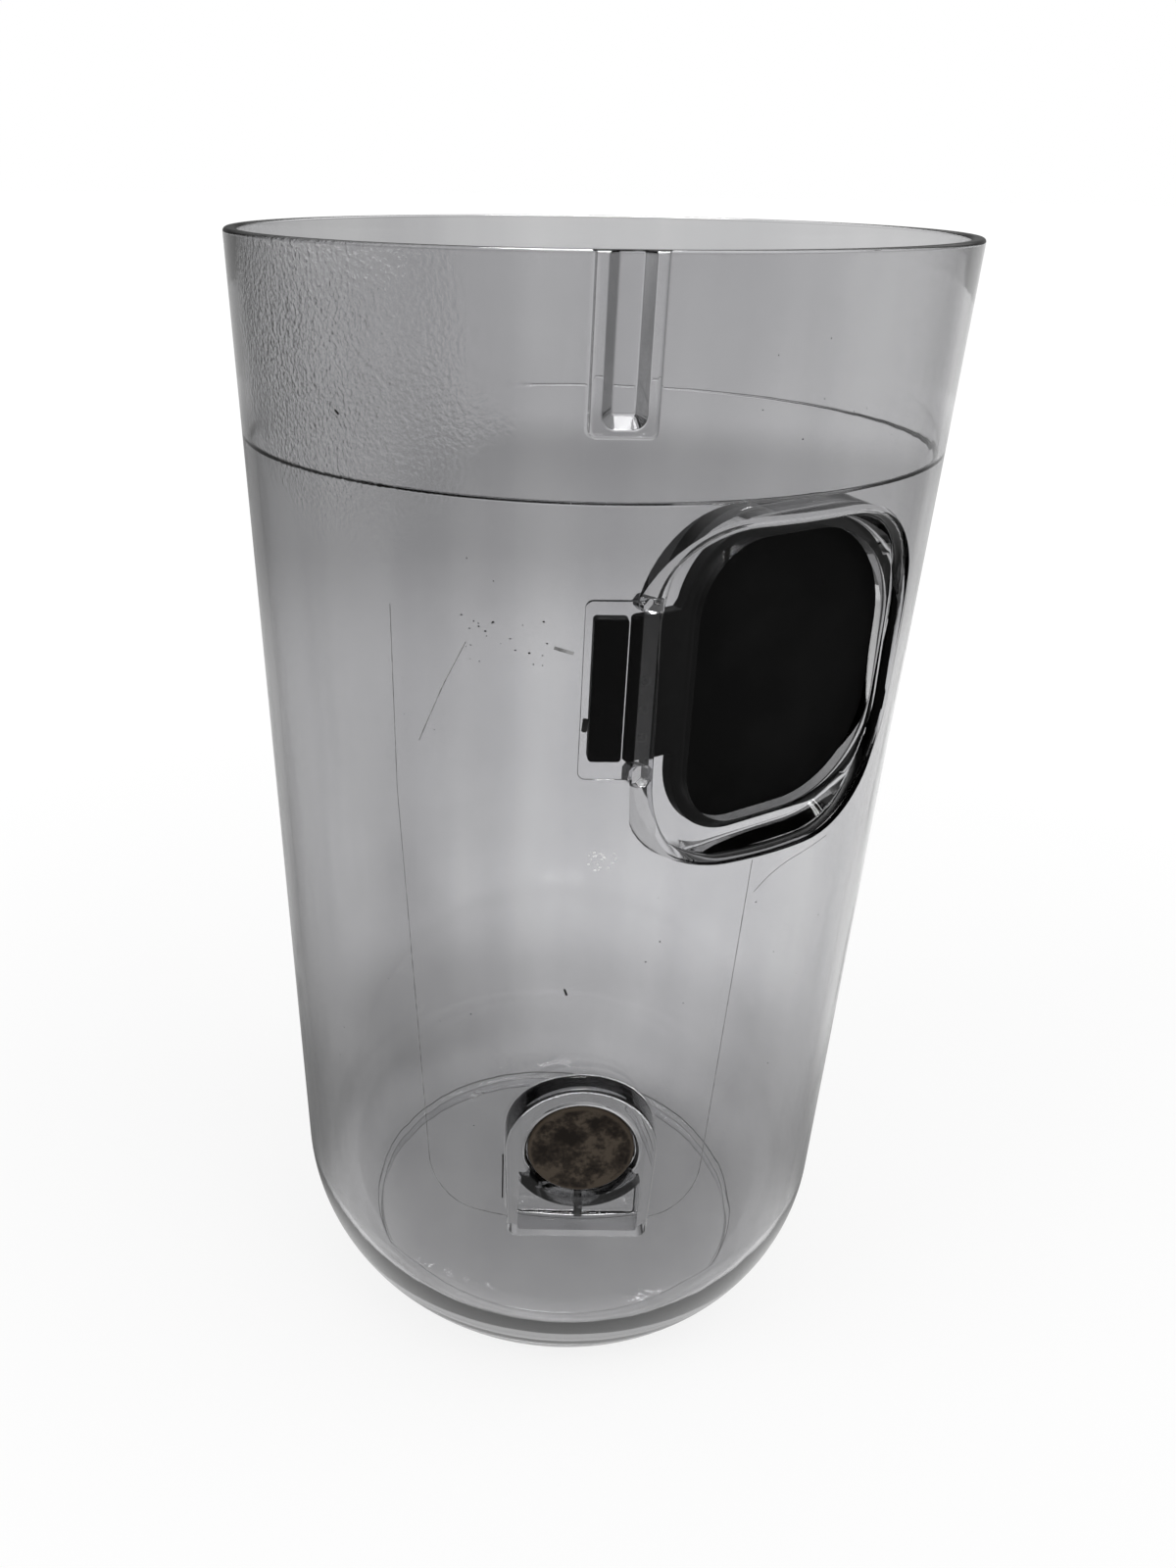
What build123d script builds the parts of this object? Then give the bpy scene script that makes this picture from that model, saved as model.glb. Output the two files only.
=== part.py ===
"""Cyclone dust bin of a stick vacuum cleaner, in millimetres.

A clear moulded bin stands on its foot, +Z up, with its axis on Z and the foot
on z = 0.  The inlet port faces -Y.  A rubber flap closes the port from inside
and swings on its strap.  A latch rib and a magnet boss stand on the outside,
on the bin's front line, which lies a little way round from the port.
"""

import math
import os

from build123d import *

os.makedirs("parts", exist_ok=True)

# Bin wall
RIM_R = 50.0
HEIGHT = 174.0
WALL = 1.7
DRAFT = 1.61
RIM_EDGE = 0.4

# Bottom of the bin
CORNER_R = 31.3
CORNER_Z = 24.5
INNER_CORNER_R = 24.6
FLOOR_Z = 4.5
FLOOR = 2.0
FOOT_W = 0.8

# Plain bore above the ledge, where the cyclone lid's seal slides in
SEAT_WALL = 1.7
SEAT_DEPTH = 26.1

# Front line of the bin, in degrees from -Y towards +X
FRONT_ANGLE = -31.75

# Latch rib: a U that opens at the rim
RIB_W = 7.4
RIB_H = 18.5
RIB_PROUD = 2.0
RIB_SLOT_W = 2.8
RIB_BAR = 2.1
RIB_ROUND = 0.9

# Inlet port: a short tube that ends in a flat seat plate inside the bin
SEAT_IN = 5.47
SEAT_T = 1.8
PORT_X = -0.6
PORT_DROP = 50.9
PORT_W = 38.8
PORT_H = 41.2
PORT_CORNER = 11.0
PORT_WALL = 2.2
PORT_FLARE = 1.0
MOUTH_ROUND = 1.2

# Rubber flap on the seat plate, and the hinge at its left
FLAP_SHIFT = 3.0
FLAP_W = 35.2
FLAP_H = 41.0
FLAP_CORNER = 11.0
FLAP_T = 2.0
FLAP_LAP = 1.6
FLAP_GAP = 0.25
FLAP_EDGE = 0.3
HINGE_REACH = 23.0
HINGE_RISE = 2.0
NECK_H = 18.8
PIP_R = 0.6
PIP_H = 0.25
PIP_PITCH = 3.7
PIP_DROP = 2.5

# Cheeks on the seat plate, above and below the flap's neck
CHEEK_W = 2.7
CHEEK_DEEP = 2.2
CHEEK_GAP = 0.4
CHEEK_EDGE = 0.7
TOP_CHEEK_H = 1.8
FOOT_CHEEK_H = 3.0

# Strap that the flap hangs on, and the flat pad for it on the inner wall
STRAP_ANGLE = -30.6
STRAP_T = 2.0
STRAP_W = 4.0
STRAP_H = 18.4
STRAP_GAP = 0.25
STRAP_EDGE = 0.3
PAD_PROUD = 0.62
PAD_H = 23.0
PAD_MARGIN = 1.2
PAD_REACH = 9.0
PAD_ROUND = 1.0

# Magnet boss: an arched cup over a ribbed foot
MAGNET_R = 7.5
MAGNET_T = 2.5
MAGNET_EDGE = 0.4
MAGNET_FIT = 0.1
MAGNET_SUNK = 0.3
BOSS_Z = 57.2
BOSS_R = 10.65
BOSS_FOOT_Z = 41.0
BOSS_FOOT_W = 20.2
BOSS_PROUD = 3.6
BOSS_WALL = 1.5
BOSS_CUP_WALL = 2.6
BOSS_CUP_LEAD = 1.0
BOSS_ROUND = 1.5
BOSS_POCKET_FLOOR = 0.4
BOSS_RIB_W = 1.2
BOSS_RIB_DROP = 1.9

# Sizes that follow from the ones above
SLOPE = math.tan(math.radians(DRAFT))
SLANT = 1 / math.cos(math.radians(DRAFT))
LEDGE_Z = HEIGHT - SEAT_DEPTH
BORE_R = RIM_R - SEAT_WALL
RECESS_Z = FLOOR_Z - FLOOR


def outer_radius(z):
    """Radius of the drafted outer wall at height z."""
    return RIM_R - SLOPE * (HEIGHT - z)


def inner_radius(z):
    """Radius of the drafted inner wall at height z."""
    return outer_radius(z) - WALL * SLANT


def facing(angle, distance):
    """Upright plane that faces outwards, with its own y along +Z.

    The angle is in degrees from -Y towards +X, and the distance is from the axis.
    """
    turn = math.radians(angle)
    outward = Vector(math.sin(turn), -math.cos(turn), 0)
    along = Vector(math.cos(turn), math.sin(turn), 0)
    return Plane(origin=outward * distance, x_dir=along, z_dir=outward)


def corner_arc(centre_r, radius, start_angle, end_angle):
    """Three points of a corner arc, from its angles below the horizontal."""
    angles = (start_angle, (start_angle + end_angle) / 2, end_angle)
    return [
        (
            centre_r + radius * math.cos(math.radians(angle)),
            CORNER_Z - radius * math.sin(math.radians(angle)),
        )
        for angle in angles
    ]


# The two corner arcs run tangent from the drafted walls to the foot and the floor
outer_centre = outer_radius(CORNER_Z) - CORNER_R * SLANT
inner_centre = inner_radius(CORNER_Z) - INNER_CORNER_R * SLANT
foot_angle = math.degrees(math.asin(CORNER_Z / CORNER_R))
floor_angle = math.degrees(math.asin((CORNER_Z - FLOOR_Z) / INNER_CORNER_R))
outer_arc = corner_arc(outer_centre, CORNER_R, foot_angle, DRAFT)
inner_arc = corner_arc(inner_centre, INNER_CORNER_R, DRAFT, floor_angle)

# Foot ring
recess_r = outer_arc[0][0] - FOOT_W

# Places of the port, the flap, its hinge and its strap
port_z = HEIGHT - PORT_DROP
seat_y = SEAT_IN - inner_radius(port_z)
flap_x = PORT_X + FLAP_SHIFT
hinge_x = flap_x - HINGE_REACH
hinge_z = port_z + HINGE_RISE
strap_k = inner_radius(hinge_z) - PAD_PROUD
flap_outer_y = seat_y + FLAP_GAP
hinge_y = flap_outer_y + FLAP_T / 2
strap_turn = math.radians(STRAP_ANGLE)
hinge_along = hinge_x * math.cos(strap_turn) + hinge_y * math.sin(strap_turn)
strap_right = hinge_along - FLAP_T / 2 - STRAP_GAP
strap_left = strap_right - STRAP_W
pad_left = strap_left - PAD_MARGIN
cheek_heights = (TOP_CHEEK_H, FOOT_CHEEK_H)
cheek_middles = (
    hinge_z + NECK_H / 2 + CHEEK_GAP + TOP_CHEEK_H / 2,
    hinge_z - NECK_H / 2 - CHEEK_GAP - FOOT_CHEEK_H / 2,
)

# Places of the magnet boss
boss_face = outer_radius(BOSS_Z) + BOSS_PROUD
cup_floor = boss_face - MAGNET_SUNK - MAGNET_T
cup_r = MAGNET_R + MAGNET_FIT
cup_outer_r = cup_r + BOSS_CUP_WALL
pocket_floor = outer_radius(BOSS_FOOT_Z) + BOSS_POCKET_FLOOR

# The outside form of the bin, solid, to trim what joins the wall
with BuildPart() as outer_form:
    with BuildSketch(Plane.XZ) as outer_section:
        with BuildLine():
            Polyline((0, 0), outer_arc[0])
            ThreePointArc(*outer_arc)
            Polyline(outer_arc[-1], (RIM_R, HEIGHT), (0, HEIGHT), (0, 0))
        make_face()
    revolve(axis=Axis.Z)

# The port's tube and the flat pad for the strap as solid blocks, trimmed to the bin's outside
with BuildPart() as port_block:
    with BuildSketch(Plane.XZ.offset(-seat_y)):
        with Locations((PORT_X, port_z)):
            RectangleRounded(
                PORT_W + 2 * PORT_WALL, PORT_H + 2 * PORT_WALL, PORT_CORNER + PORT_WALL
            )
    extrude(amount=RIM_R + seat_y, taper=-PORT_FLARE)
    with BuildSketch(facing(STRAP_ANGLE, strap_k)):
        with Locations((pad_left + PAD_REACH / 2, hinge_z)):
            RectangleRounded(PAD_REACH, PAD_H, PAD_ROUND)
    extrude(amount=RIM_R - strap_k)
    add(outer_form.part, mode=Mode.INTERSECT)

# The clear bin in one moulding
with BuildPart() as bin_body:
    with BuildSketch(Plane.XZ) as section:
        with BuildLine():
            Polyline((0, RECESS_Z), (recess_r, RECESS_Z), (recess_r, 0), outer_arc[0])
            ThreePointArc(*outer_arc)
            Polyline(
                outer_arc[-1],
                (RIM_R, HEIGHT),
                (BORE_R, HEIGHT),
                (BORE_R, LEDGE_Z),
                (inner_radius(LEDGE_Z), LEDGE_Z),
                inner_arc[0],
            )
            ThreePointArc(*inner_arc)
            Polyline(inner_arc[-1], (0, FLOOR_Z), (0, RECESS_Z))
        make_face()
        chamfer(section.vertices().group_by(Axis.Y)[-1], RIM_EDGE)
    revolve(axis=Axis.Z)

    # Cheeks on the seat plate, with chamfered ends
    for height, middle in zip(cheek_heights, cheek_middles):
        with BuildSketch(Plane.XZ.offset(-seat_y - CHEEK_DEEP)) as cheek:
            with Locations((hinge_x + CHEEK_W / 3, middle)):
                Rectangle(CHEEK_W, height)
            chamfer(cheek.vertices(), CHEEK_EDGE)
        extrude(amount=CHEEK_DEEP)

    # Port: the blocks, the bore with its rounded mouth, and the opening in the seat plate
    add(port_block.part)
    with BuildSketch(Plane.XZ.offset(SEAT_T - seat_y)):
        with Locations((PORT_X, port_z)):
            RectangleRounded(PORT_W, PORT_H, PORT_CORNER)
    extrude(amount=RIM_R + seat_y - SEAT_T, taper=-PORT_FLARE, mode=Mode.SUBTRACT)
    mouth = bin_body.edges(Select.LAST).filter_by(
        lambda edge: edge.center().Y < seat_y - SEAT_T - 0.1 and edge.geom_type != GeomType.LINE
    )
    fillet(mouth, MOUTH_ROUND)
    with BuildSketch(Plane.XZ.offset(-seat_y)):
        with Locations((flap_x, port_z)):
            RectangleRounded(FLAP_W - 2 * FLAP_LAP, FLAP_H - 2 * FLAP_LAP, FLAP_CORNER - FLAP_LAP)
    extrude(amount=SEAT_T, mode=Mode.SUBTRACT)

    # Latch rib, with its slot open at the rim
    with BuildSketch(facing(FRONT_ANGLE, RIM_R - WALL / 2)) as rib_outline:
        with Locations((0, HEIGHT - RIB_H / 2)):
            Rectangle(RIB_W, RIB_H)
        fillet(rib_outline.vertices().group_by(Axis.Y)[0], RIB_ROUND)
        with Locations((0, HEIGHT - (RIB_H - RIB_BAR) / 2)):
            Rectangle(RIB_SLOT_W, RIB_H - RIB_BAR, mode=Mode.SUBTRACT)
    extrude(amount=RIB_PROUD + WALL / 2)

    # Magnet boss: arched outline, cup, then the pocket under the cup and its rib
    with BuildSketch(facing(FRONT_ANGLE, outer_radius(BOSS_FOOT_Z) - WALL / 2)) as boss_outline:
        with Locations((0, BOSS_Z)):
            Circle(BOSS_R)
        with BuildLine():
            Polyline(
                (-BOSS_R, BOSS_Z),
                (-BOSS_FOOT_W / 2, BOSS_FOOT_Z),
                (BOSS_FOOT_W / 2, BOSS_FOOT_Z),
                (BOSS_R, BOSS_Z),
                close=True,
            )
        make_face()
        fillet(boss_outline.vertices().group_by(Axis.Y)[0], BOSS_ROUND)
    extrude(amount=boss_face - outer_radius(BOSS_FOOT_Z) + WALL / 2)
    with BuildSketch(facing(FRONT_ANGLE, boss_face)):
        with Locations((0, BOSS_Z)):
            Circle(cup_r)
    extrude(amount=cup_floor - boss_face, mode=Mode.SUBTRACT)
    cup_edges = bin_body.edges(Select.LAST).filter_by(GeomType.CIRCLE)
    lead_edge = cup_edges.sort_by_distance((0, 0, BOSS_Z))[-1]
    chamfer(lead_edge, BOSS_CUP_LEAD)
    with BuildSketch(facing(FRONT_ANGLE, boss_face)):
        with Locations((0, (BOSS_FOOT_Z + BOSS_WALL + BOSS_Z) / 2)):
            Rectangle(BOSS_FOOT_W - 2 * BOSS_WALL, BOSS_Z - BOSS_FOOT_Z - BOSS_WALL)
        with Locations((0, BOSS_Z)):
            Circle(cup_outer_r, mode=Mode.SUBTRACT)
        with Locations((0, BOSS_Z - cup_outer_r)):
            Rectangle(BOSS_RIB_W, 2 * BOSS_RIB_DROP, mode=Mode.SUBTRACT)
    extrude(amount=pocket_floor - boss_face, mode=Mode.SUBTRACT)
bin_body.part.label = "bin_body"
export_step(bin_body.part, "parts/bin_body.step")

# Rubber flap: the door, its neck, the knuckle it swings on and three moulded pips
with BuildPart() as inlet_flap:
    with BuildSketch(Plane.XZ.offset(-flap_outer_y)):
        with Locations((flap_x, port_z)):
            RectangleRounded(FLAP_W, FLAP_H, FLAP_CORNER)
        with Locations(((hinge_x + flap_x) / 2, hinge_z)):
            Rectangle(flap_x - hinge_x, NECK_H)
    extrude(amount=-FLAP_T)
    chamfer(inlet_flap.faces().filter_by(Axis.Y).edges(), FLAP_EDGE)
    with BuildSketch(Plane.XY.offset(hinge_z - NECK_H / 2)):
        with Locations((hinge_x, hinge_y)):
            Circle(FLAP_T / 2)
    extrude(amount=NECK_H)
    with BuildSketch(Plane.XZ.offset(PIP_H - flap_outer_y)):
        with Locations((hinge_x + FLAP_T / 2, hinge_z - PIP_DROP)):
            with GridLocations(1, PIP_PITCH, 1, 3):
                Circle(PIP_R)
    extrude(amount=-PIP_H - FLAP_T / 2)
inlet_flap.part.label = "inlet_flap"
export_step(inlet_flap.part, "parts/inlet_flap.step")

# Strap of the flap, seated on the pad inside its frame
with BuildPart() as flap_hinge_strap:
    with BuildSketch(facing(STRAP_ANGLE, strap_k)):
        with Locations((strap_left + STRAP_W / 2, hinge_z)):
            Rectangle(STRAP_W, STRAP_H)
    extrude(amount=-STRAP_T)
    inward_face = flap_hinge_strap.faces().sort_by_distance((0, 0, hinge_z))[0]
    chamfer(inward_face.edges(), STRAP_EDGE)
flap_hinge_strap.part.label = "flap_hinge_strap"
export_step(flap_hinge_strap.part, "parts/flap_hinge_strap.step")

# Disc magnet in the cup of the boss
with BuildPart() as magnet_disc:
    with BuildSketch(facing(FRONT_ANGLE, cup_floor)):
        with Locations((0, BOSS_Z)):
            Circle(MAGNET_R)
    extrude(amount=MAGNET_T)
    chamfer(magnet_disc.edges().filter_by(GeomType.CIRCLE), MAGNET_EDGE)
magnet_disc.part.label = "magnet_disc"
export_step(magnet_disc.part, "parts/magnet_disc.step")
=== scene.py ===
"""Looks of the clear cyclone dust bin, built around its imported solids.

The bin is one clear moulding: a revolved wall that the port, the strap's pad, the latch rib and the
magnet boss are joined to.  The rubber flap, its strap and the disc magnet are pieces of their own.
Fields are in millimetres and meshes in metres, in the frame of the solids: +Z up the bin's axis,
-Y straight out of the inlet port.
"""

import logging
import math
from collections.abc import Iterable, Sequence
from dataclasses import dataclass
from enum import Enum

import bmesh
import bpy
from mathutils import Matrix, Vector


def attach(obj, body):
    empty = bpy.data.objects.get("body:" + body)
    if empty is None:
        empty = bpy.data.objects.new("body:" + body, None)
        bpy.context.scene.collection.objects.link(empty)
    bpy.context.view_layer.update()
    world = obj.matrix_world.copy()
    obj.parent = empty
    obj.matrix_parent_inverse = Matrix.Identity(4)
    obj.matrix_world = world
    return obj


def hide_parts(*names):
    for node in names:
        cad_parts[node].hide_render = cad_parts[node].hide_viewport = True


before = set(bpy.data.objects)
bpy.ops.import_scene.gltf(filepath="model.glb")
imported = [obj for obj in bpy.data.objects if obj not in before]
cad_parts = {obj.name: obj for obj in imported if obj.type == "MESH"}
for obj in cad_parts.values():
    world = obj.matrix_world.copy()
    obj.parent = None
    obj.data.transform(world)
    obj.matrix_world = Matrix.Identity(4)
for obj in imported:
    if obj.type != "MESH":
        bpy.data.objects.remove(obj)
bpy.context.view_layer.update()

LOG = logging.getLogger("dust_bin")
MM = 0.001

Flat = tuple[float, float]
Triple = tuple[float, float, float]
Colour = tuple[float, float, float, float]
Joins = Sequence[tuple[int, ...]]
Piece = bpy.types.Object
Finish = bpy.types.Material
Signal = bpy.types.NodeSocket


class Body(Enum):
    """Bodies of the frame that pieces ride on."""

    BIN = "bin"
    FLAP = "flap"


class Slot(Enum):
    """Material slots of the record."""

    PLASTIC = "clear_plastic"
    RUBBER = "black_rubber"
    MAGNET = "magnet_metal"


class Socket(Enum):
    """Kinds of named inputs on a geometry-nodes tree."""

    LENGTH = "NodeSocketFloat"
    COUNT = "NodeSocketInt"
    FINISH = "NodeSocketMaterial"


class Carve(Enum):
    """What a boolean step does with its tool."""

    JOIN = "UNION"
    CUT = "DIFFERENCE"


def grey(level: float) -> Colour:
    """Returns an opaque neutral colour of that level."""
    return (level, level, level, 1.0)


# Flat outlines


def round_corners(corners: Sequence[Triple], closed: bool, steps: int) -> list[Flat]:
    """Rounds the corners of a polyline.

    Args:
        corners: Points as (u, v, radius); a radius of 0 leaves the corner sharp.
        closed: Whether the last point joins the first.
        steps: Spans in each rounded corner.

    Returns:
        The points of the rounded line, in order.
    """
    points: list[Flat] = []
    count = len(corners)
    for index, (u, v, radius) in enumerate(corners):
        at_end = not closed and index in (0, count - 1)
        if radius == 0 or at_end:
            points.append((u, v))
            continue
        here = Vector((u, v))
        back = (Vector(corners[index - 1][:2]) - here).normalized()
        ahead = (Vector(corners[(index + 1) % count][:2]) - here).normalized()
        half = back.angle(ahead) / 2
        centre = here + (back + ahead).normalized() * radius / math.sin(half)
        start = here + back * radius / math.tan(half) - centre
        sweep = start.angle_signed(here + ahead * radius / math.tan(half) - centre)
        for step in range(steps + 1):
            turn = Matrix.Rotation(-sweep * step / steps, 2)
            points.append(tuple(centre + turn @ start))
    return points


def arc(centre: Flat, radius: float, start_deg: float, end_deg: float, steps: int) -> list[Flat]:
    """Returns points of an arc from its start angle to its end angle."""
    angles = [math.radians(start_deg + (end_deg - start_deg) * step / steps) for step in range(steps + 1)]
    return [(centre[0] + radius * math.cos(a), centre[1] + radius * math.sin(a)) for a in angles]


def quarter_round(radius: float, steps: int) -> list[Flat]:
    """Returns a quarter round as pairs that run from (radius, 0) to (0, radius)."""
    turns = [math.pi / 2 * step / steps for step in range(steps + 1)]
    return [(radius * (1 - math.sin(turn)), radius * (1 - math.cos(turn))) for turn in turns]


class Outline:
    """Closed flat outline, anticlockwise, fine enough to be laid on a curved wall."""

    box_steps = 14

    def __init__(self, points: Iterable[Flat], longest: float = 1.2) -> None:
        """Splits the runs of an outline.

        Args:
            points: The outline's points, in order.
            longest: Longest span that is left unsplit, in millimetres.
        """
        corners = list(points)
        self.points: list[Vector] = []
        for index, point in enumerate(corners):
            here, ahead = Vector(point), Vector(corners[(index + 1) % len(corners)])
            spans = max(1, math.ceil((ahead - here).length / longest))
            self.points += [here.lerp(ahead, span / spans) for span in range(spans)]

    @classmethod
    def box(
        cls, centre: Flat, width: float, height: float, corner: float, right_corner: float | None = None
    ) -> "Outline":
        """Makes a rectangle with rounded corners.

        Args:
            centre: Its middle.
            width: Its width.
            height: Its height.
            corner: Radius of its corners.
            right_corner: Radius of the corners on its right, where it is another one.

        Returns:
            The outline.
        """
        radii = {-1: corner, 1: corner if right_corner is None else right_corner}
        signs = ((-1, -1), (1, -1), (1, 1), (-1, 1))
        corners = [(centre[0] + su * width / 2, centre[1] + sv * height / 2, radii[su]) for su, sv in signs]
        return cls(round_corners(corners, closed=True, steps=cls.box_steps))

    @classmethod
    def circle(cls, centre: Flat, radius: float, steps: int = 96) -> "Outline":
        """Returns a full circle."""
        return cls(arc(centre, radius, 0, 360, steps)[:-1])

    def normals(self) -> list[Vector]:
        """Returns the outward normal at each point."""
        count = len(self.points)
        spans = [self.points[(i + 1) % count] - self.points[i - 1] for i in range(count)]
        return [Vector((span.y, -span.x)).normalized() for span in spans]

    def grown(self, distance: float) -> list[Vector]:
        """Returns the points moved outwards by a distance."""
        return [point + normal * distance for point, normal in zip(self.points, self.normals())]

    def shrunk(self, share: float) -> list[Vector]:
        """Returns the points drawn in to a share of their distance from their middle."""
        middle = sum(self.points, Vector((0, 0))) / len(self.points)
        return [middle.lerp(point, share) for point in self.points]


# Places and meshes


@dataclass(frozen=True)
class Facing:
    """Upright frame that looks outwards from the bin's axis.

    Attributes:
        angle_deg: Its direction, from -Y towards +X.
    """

    angle_deg: float

    def at(self, along: float, height: float, out: float) -> Vector:
        """Returns a place in metres from its run along the wall, its height and its distance out."""
        turn = math.radians(self.angle_deg)
        outward = Vector((math.sin(turn), -math.cos(turn), 0))
        sideways = Vector((math.cos(turn), math.sin(turn), 0))
        return (sideways * along + Vector((0, 0, height)) + outward * out) * MM

    def ring(self, points: Iterable[Vector], out: float) -> list[Vector]:
        """Returns the places in metres of flat points at one distance out."""
        return [self.at(p.x, p.y, out) for p in points]


def add_object(name: str, mesh: bpy.types.Mesh) -> Piece:
    """Returns a new object with that mesh, at the origin of the scene."""
    made = bpy.data.objects.new(name, mesh)
    bpy.context.scene.collection.objects.link(made)
    return made


def plain_object(name: str, places: Sequence[Vector], edges: Joins = (), faces: Joins = ()) -> Piece:
    """Returns a new object from places in metres and the edges or faces that join them."""
    mesh = bpy.data.meshes.new(name)
    mesh.from_pydata(places, edges, faces)
    return add_object(name, mesh)


def loft(name: str, rings: Sequence[Sequence[Vector]]) -> Piece:
    """Skins closed rings of equal length and caps the two ends.

    Args:
        name: Name of the object.
        rings: Rings of places in metres, from one end to the other.

    Returns:
        A closed object whose faces point outwards.
    """
    work = bmesh.new()
    rows = [[work.verts.new(place) for place in ring] for ring in rings]
    count = len(rows[0])
    for low, high in zip(rows, rows[1:]):
        for i in range(count):
            j = (i + 1) % count
            work.faces.new((low[i], low[j], high[j], high[i]))
    work.faces.new(rows[0][::-1])
    work.faces.new(rows[-1])
    bmesh.ops.recalc_face_normals(work, faces=work.faces)
    mesh = bpy.data.meshes.new(name)
    work.to_mesh(mesh)
    work.free()
    return add_object(name, mesh)


def flatten(obj: Piece) -> None:
    """Turns an object's modifiers into a plain mesh and removes them."""
    graph = bpy.context.evaluated_depsgraph_get()
    mesh = bpy.data.meshes.new_from_object(obj.evaluated_get(graph), depsgraph=graph)
    obj.modifiers.clear()
    obj.data = mesh


def carve(base: Piece, tool: Piece, step: Carve) -> None:
    """Joins a tool to a base or cuts it out, then deletes the tool."""
    modifier = base.modifiers.new(step.name, "BOOLEAN")
    modifier.operation = step.value
    modifier.solver = "MANIFOLD"
    modifier.object = tool
    flatten(base)
    bpy.data.objects.remove(tool)


def smooth(obj: Piece, sharp_deg: float = 30.0) -> None:
    """Shades an object smooth up to an angle, with flat faces kept flat."""
    obj.data.shade_smooth()
    obj.data.set_sharp_from_angle(angle=math.radians(sharp_deg))
    modifier = obj.modifiers.new("even_normals", "WEIGHTED_NORMAL")
    modifier.keep_sharp = True
    flatten(obj)


def dress(obj: Piece, finish: Finish) -> None:
    """Gives an object one finish and the record's slot for it."""
    obj.data.materials.clear()
    obj.data.materials.append(finish)


def rounded_prism(
    name: str,
    outline: Outline,
    facing: Facing,
    inner: float,
    outer: float,
    inner_round: float,
    outer_round: float,
    steps: int = 5,
) -> Piece:
    """Makes a prism between two distances, with rounded edges.

    Args:
        name: Name of the object.
        outline: Its outline, seen from outside.
        facing: Frame that it stands in.
        inner: Distance of its inner face from the axis.
        outer: Distance of its outer face.
        inner_round: Edge radius of the inner face.
        outer_round: Edge radius of the outer face.
        steps: Spans in each rounded edge.

    Returns:
        The closed prism.
    """
    rows: list[Flat] = []
    for edge, face, sign in ((inner_round, inner, 1), (outer_round, outer, -1)):
        pairs = quarter_round(edge, steps) if edge else [(0.0, 0.0)]
        edge_rows = [(-inset, face + sign * rise) for inset, rise in pairs]
        rows += edge_rows if sign > 0 else edge_rows[::-1]
    return loft(name, [facing.ring(outline.grown(grow), out) for grow, out in rows])


# Node trees


class NodeGraph:
    """One node tree, with short calls that add a node and feed its inputs."""

    def __init__(self, tree: bpy.types.NodeTree) -> None:
        """Takes the tree to work on."""
        self.tree = tree

    def feed(self, target: Signal, value: object) -> None:
        """Links a socket to an input, or sets a plain value on it."""
        if isinstance(value, Signal):
            self.tree.links.new(value, target)
        else:
            target.default_value = value

    def node(self, kind: str, *values: object, **inputs: object) -> bpy.types.Node:
        """Adds a node.

        Args:
            kind: Name of its type.
            *values: Its first inputs, in order: sockets to link or plain values.
            **inputs: Inputs by name, with spaces as underscores.

        Returns:
            The node.
        """
        made = self.tree.nodes.new(kind)
        for target, value in zip(made.inputs, values):
            self.feed(target, value)
        for name, value in inputs.items():
            self.feed(made.inputs[name.replace("_", " ")], value)
        return made


class GeometryRecipe(NodeGraph):
    """One geometry-nodes tree with named inputs, run on an object and turned into a plain mesh."""

    def __init__(self, name: str) -> None:
        """Starts a tree with a geometry input and a geometry output."""
        super().__init__(bpy.data.node_groups.new(name, "GeometryNodeTree"))
        for way in ("INPUT", "OUTPUT"):
            self.tree.interface.new_socket("Geometry", in_out=way, socket_type="NodeSocketGeometry")
        self.source = self.node("NodeGroupInput")
        self.sink = self.node("NodeGroupOutput")
        self.values: dict[str, object] = {}

    def size(self, name: str, kind: Socket, value: object) -> Signal:
        """Adds a named input with its value and returns its socket."""
        item = self.tree.interface.new_socket(name, in_out="INPUT", socket_type=kind.value)
        self.values[item.identifier] = value
        return self.source.outputs[name]

    def run(self, obj: Piece, last: bpy.types.Node, finish: Finish) -> None:
        """Ends the tree with its finish and runs it on an object.

        Args:
            obj: Object whose mesh the tree starts from.
            last: Node whose first output is the shape.
            finish: Material of the shape.
        """
        real = self.node("GeometryNodeRealizeInstances", last.outputs[0])
        material = self.size("Finish", Socket.FINISH, finish)
        painted = self.node("GeometryNodeSetMaterial", Geometry=real.outputs[0], Material=material)
        self.feed(self.sink.inputs[0], painted.outputs[0])
        modifier = obj.modifiers.new(self.tree.name, "NODES")
        modifier.node_group = self.tree
        for identifier, value in self.values.items():
            modifier[identifier] = value
        flatten(obj)


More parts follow.
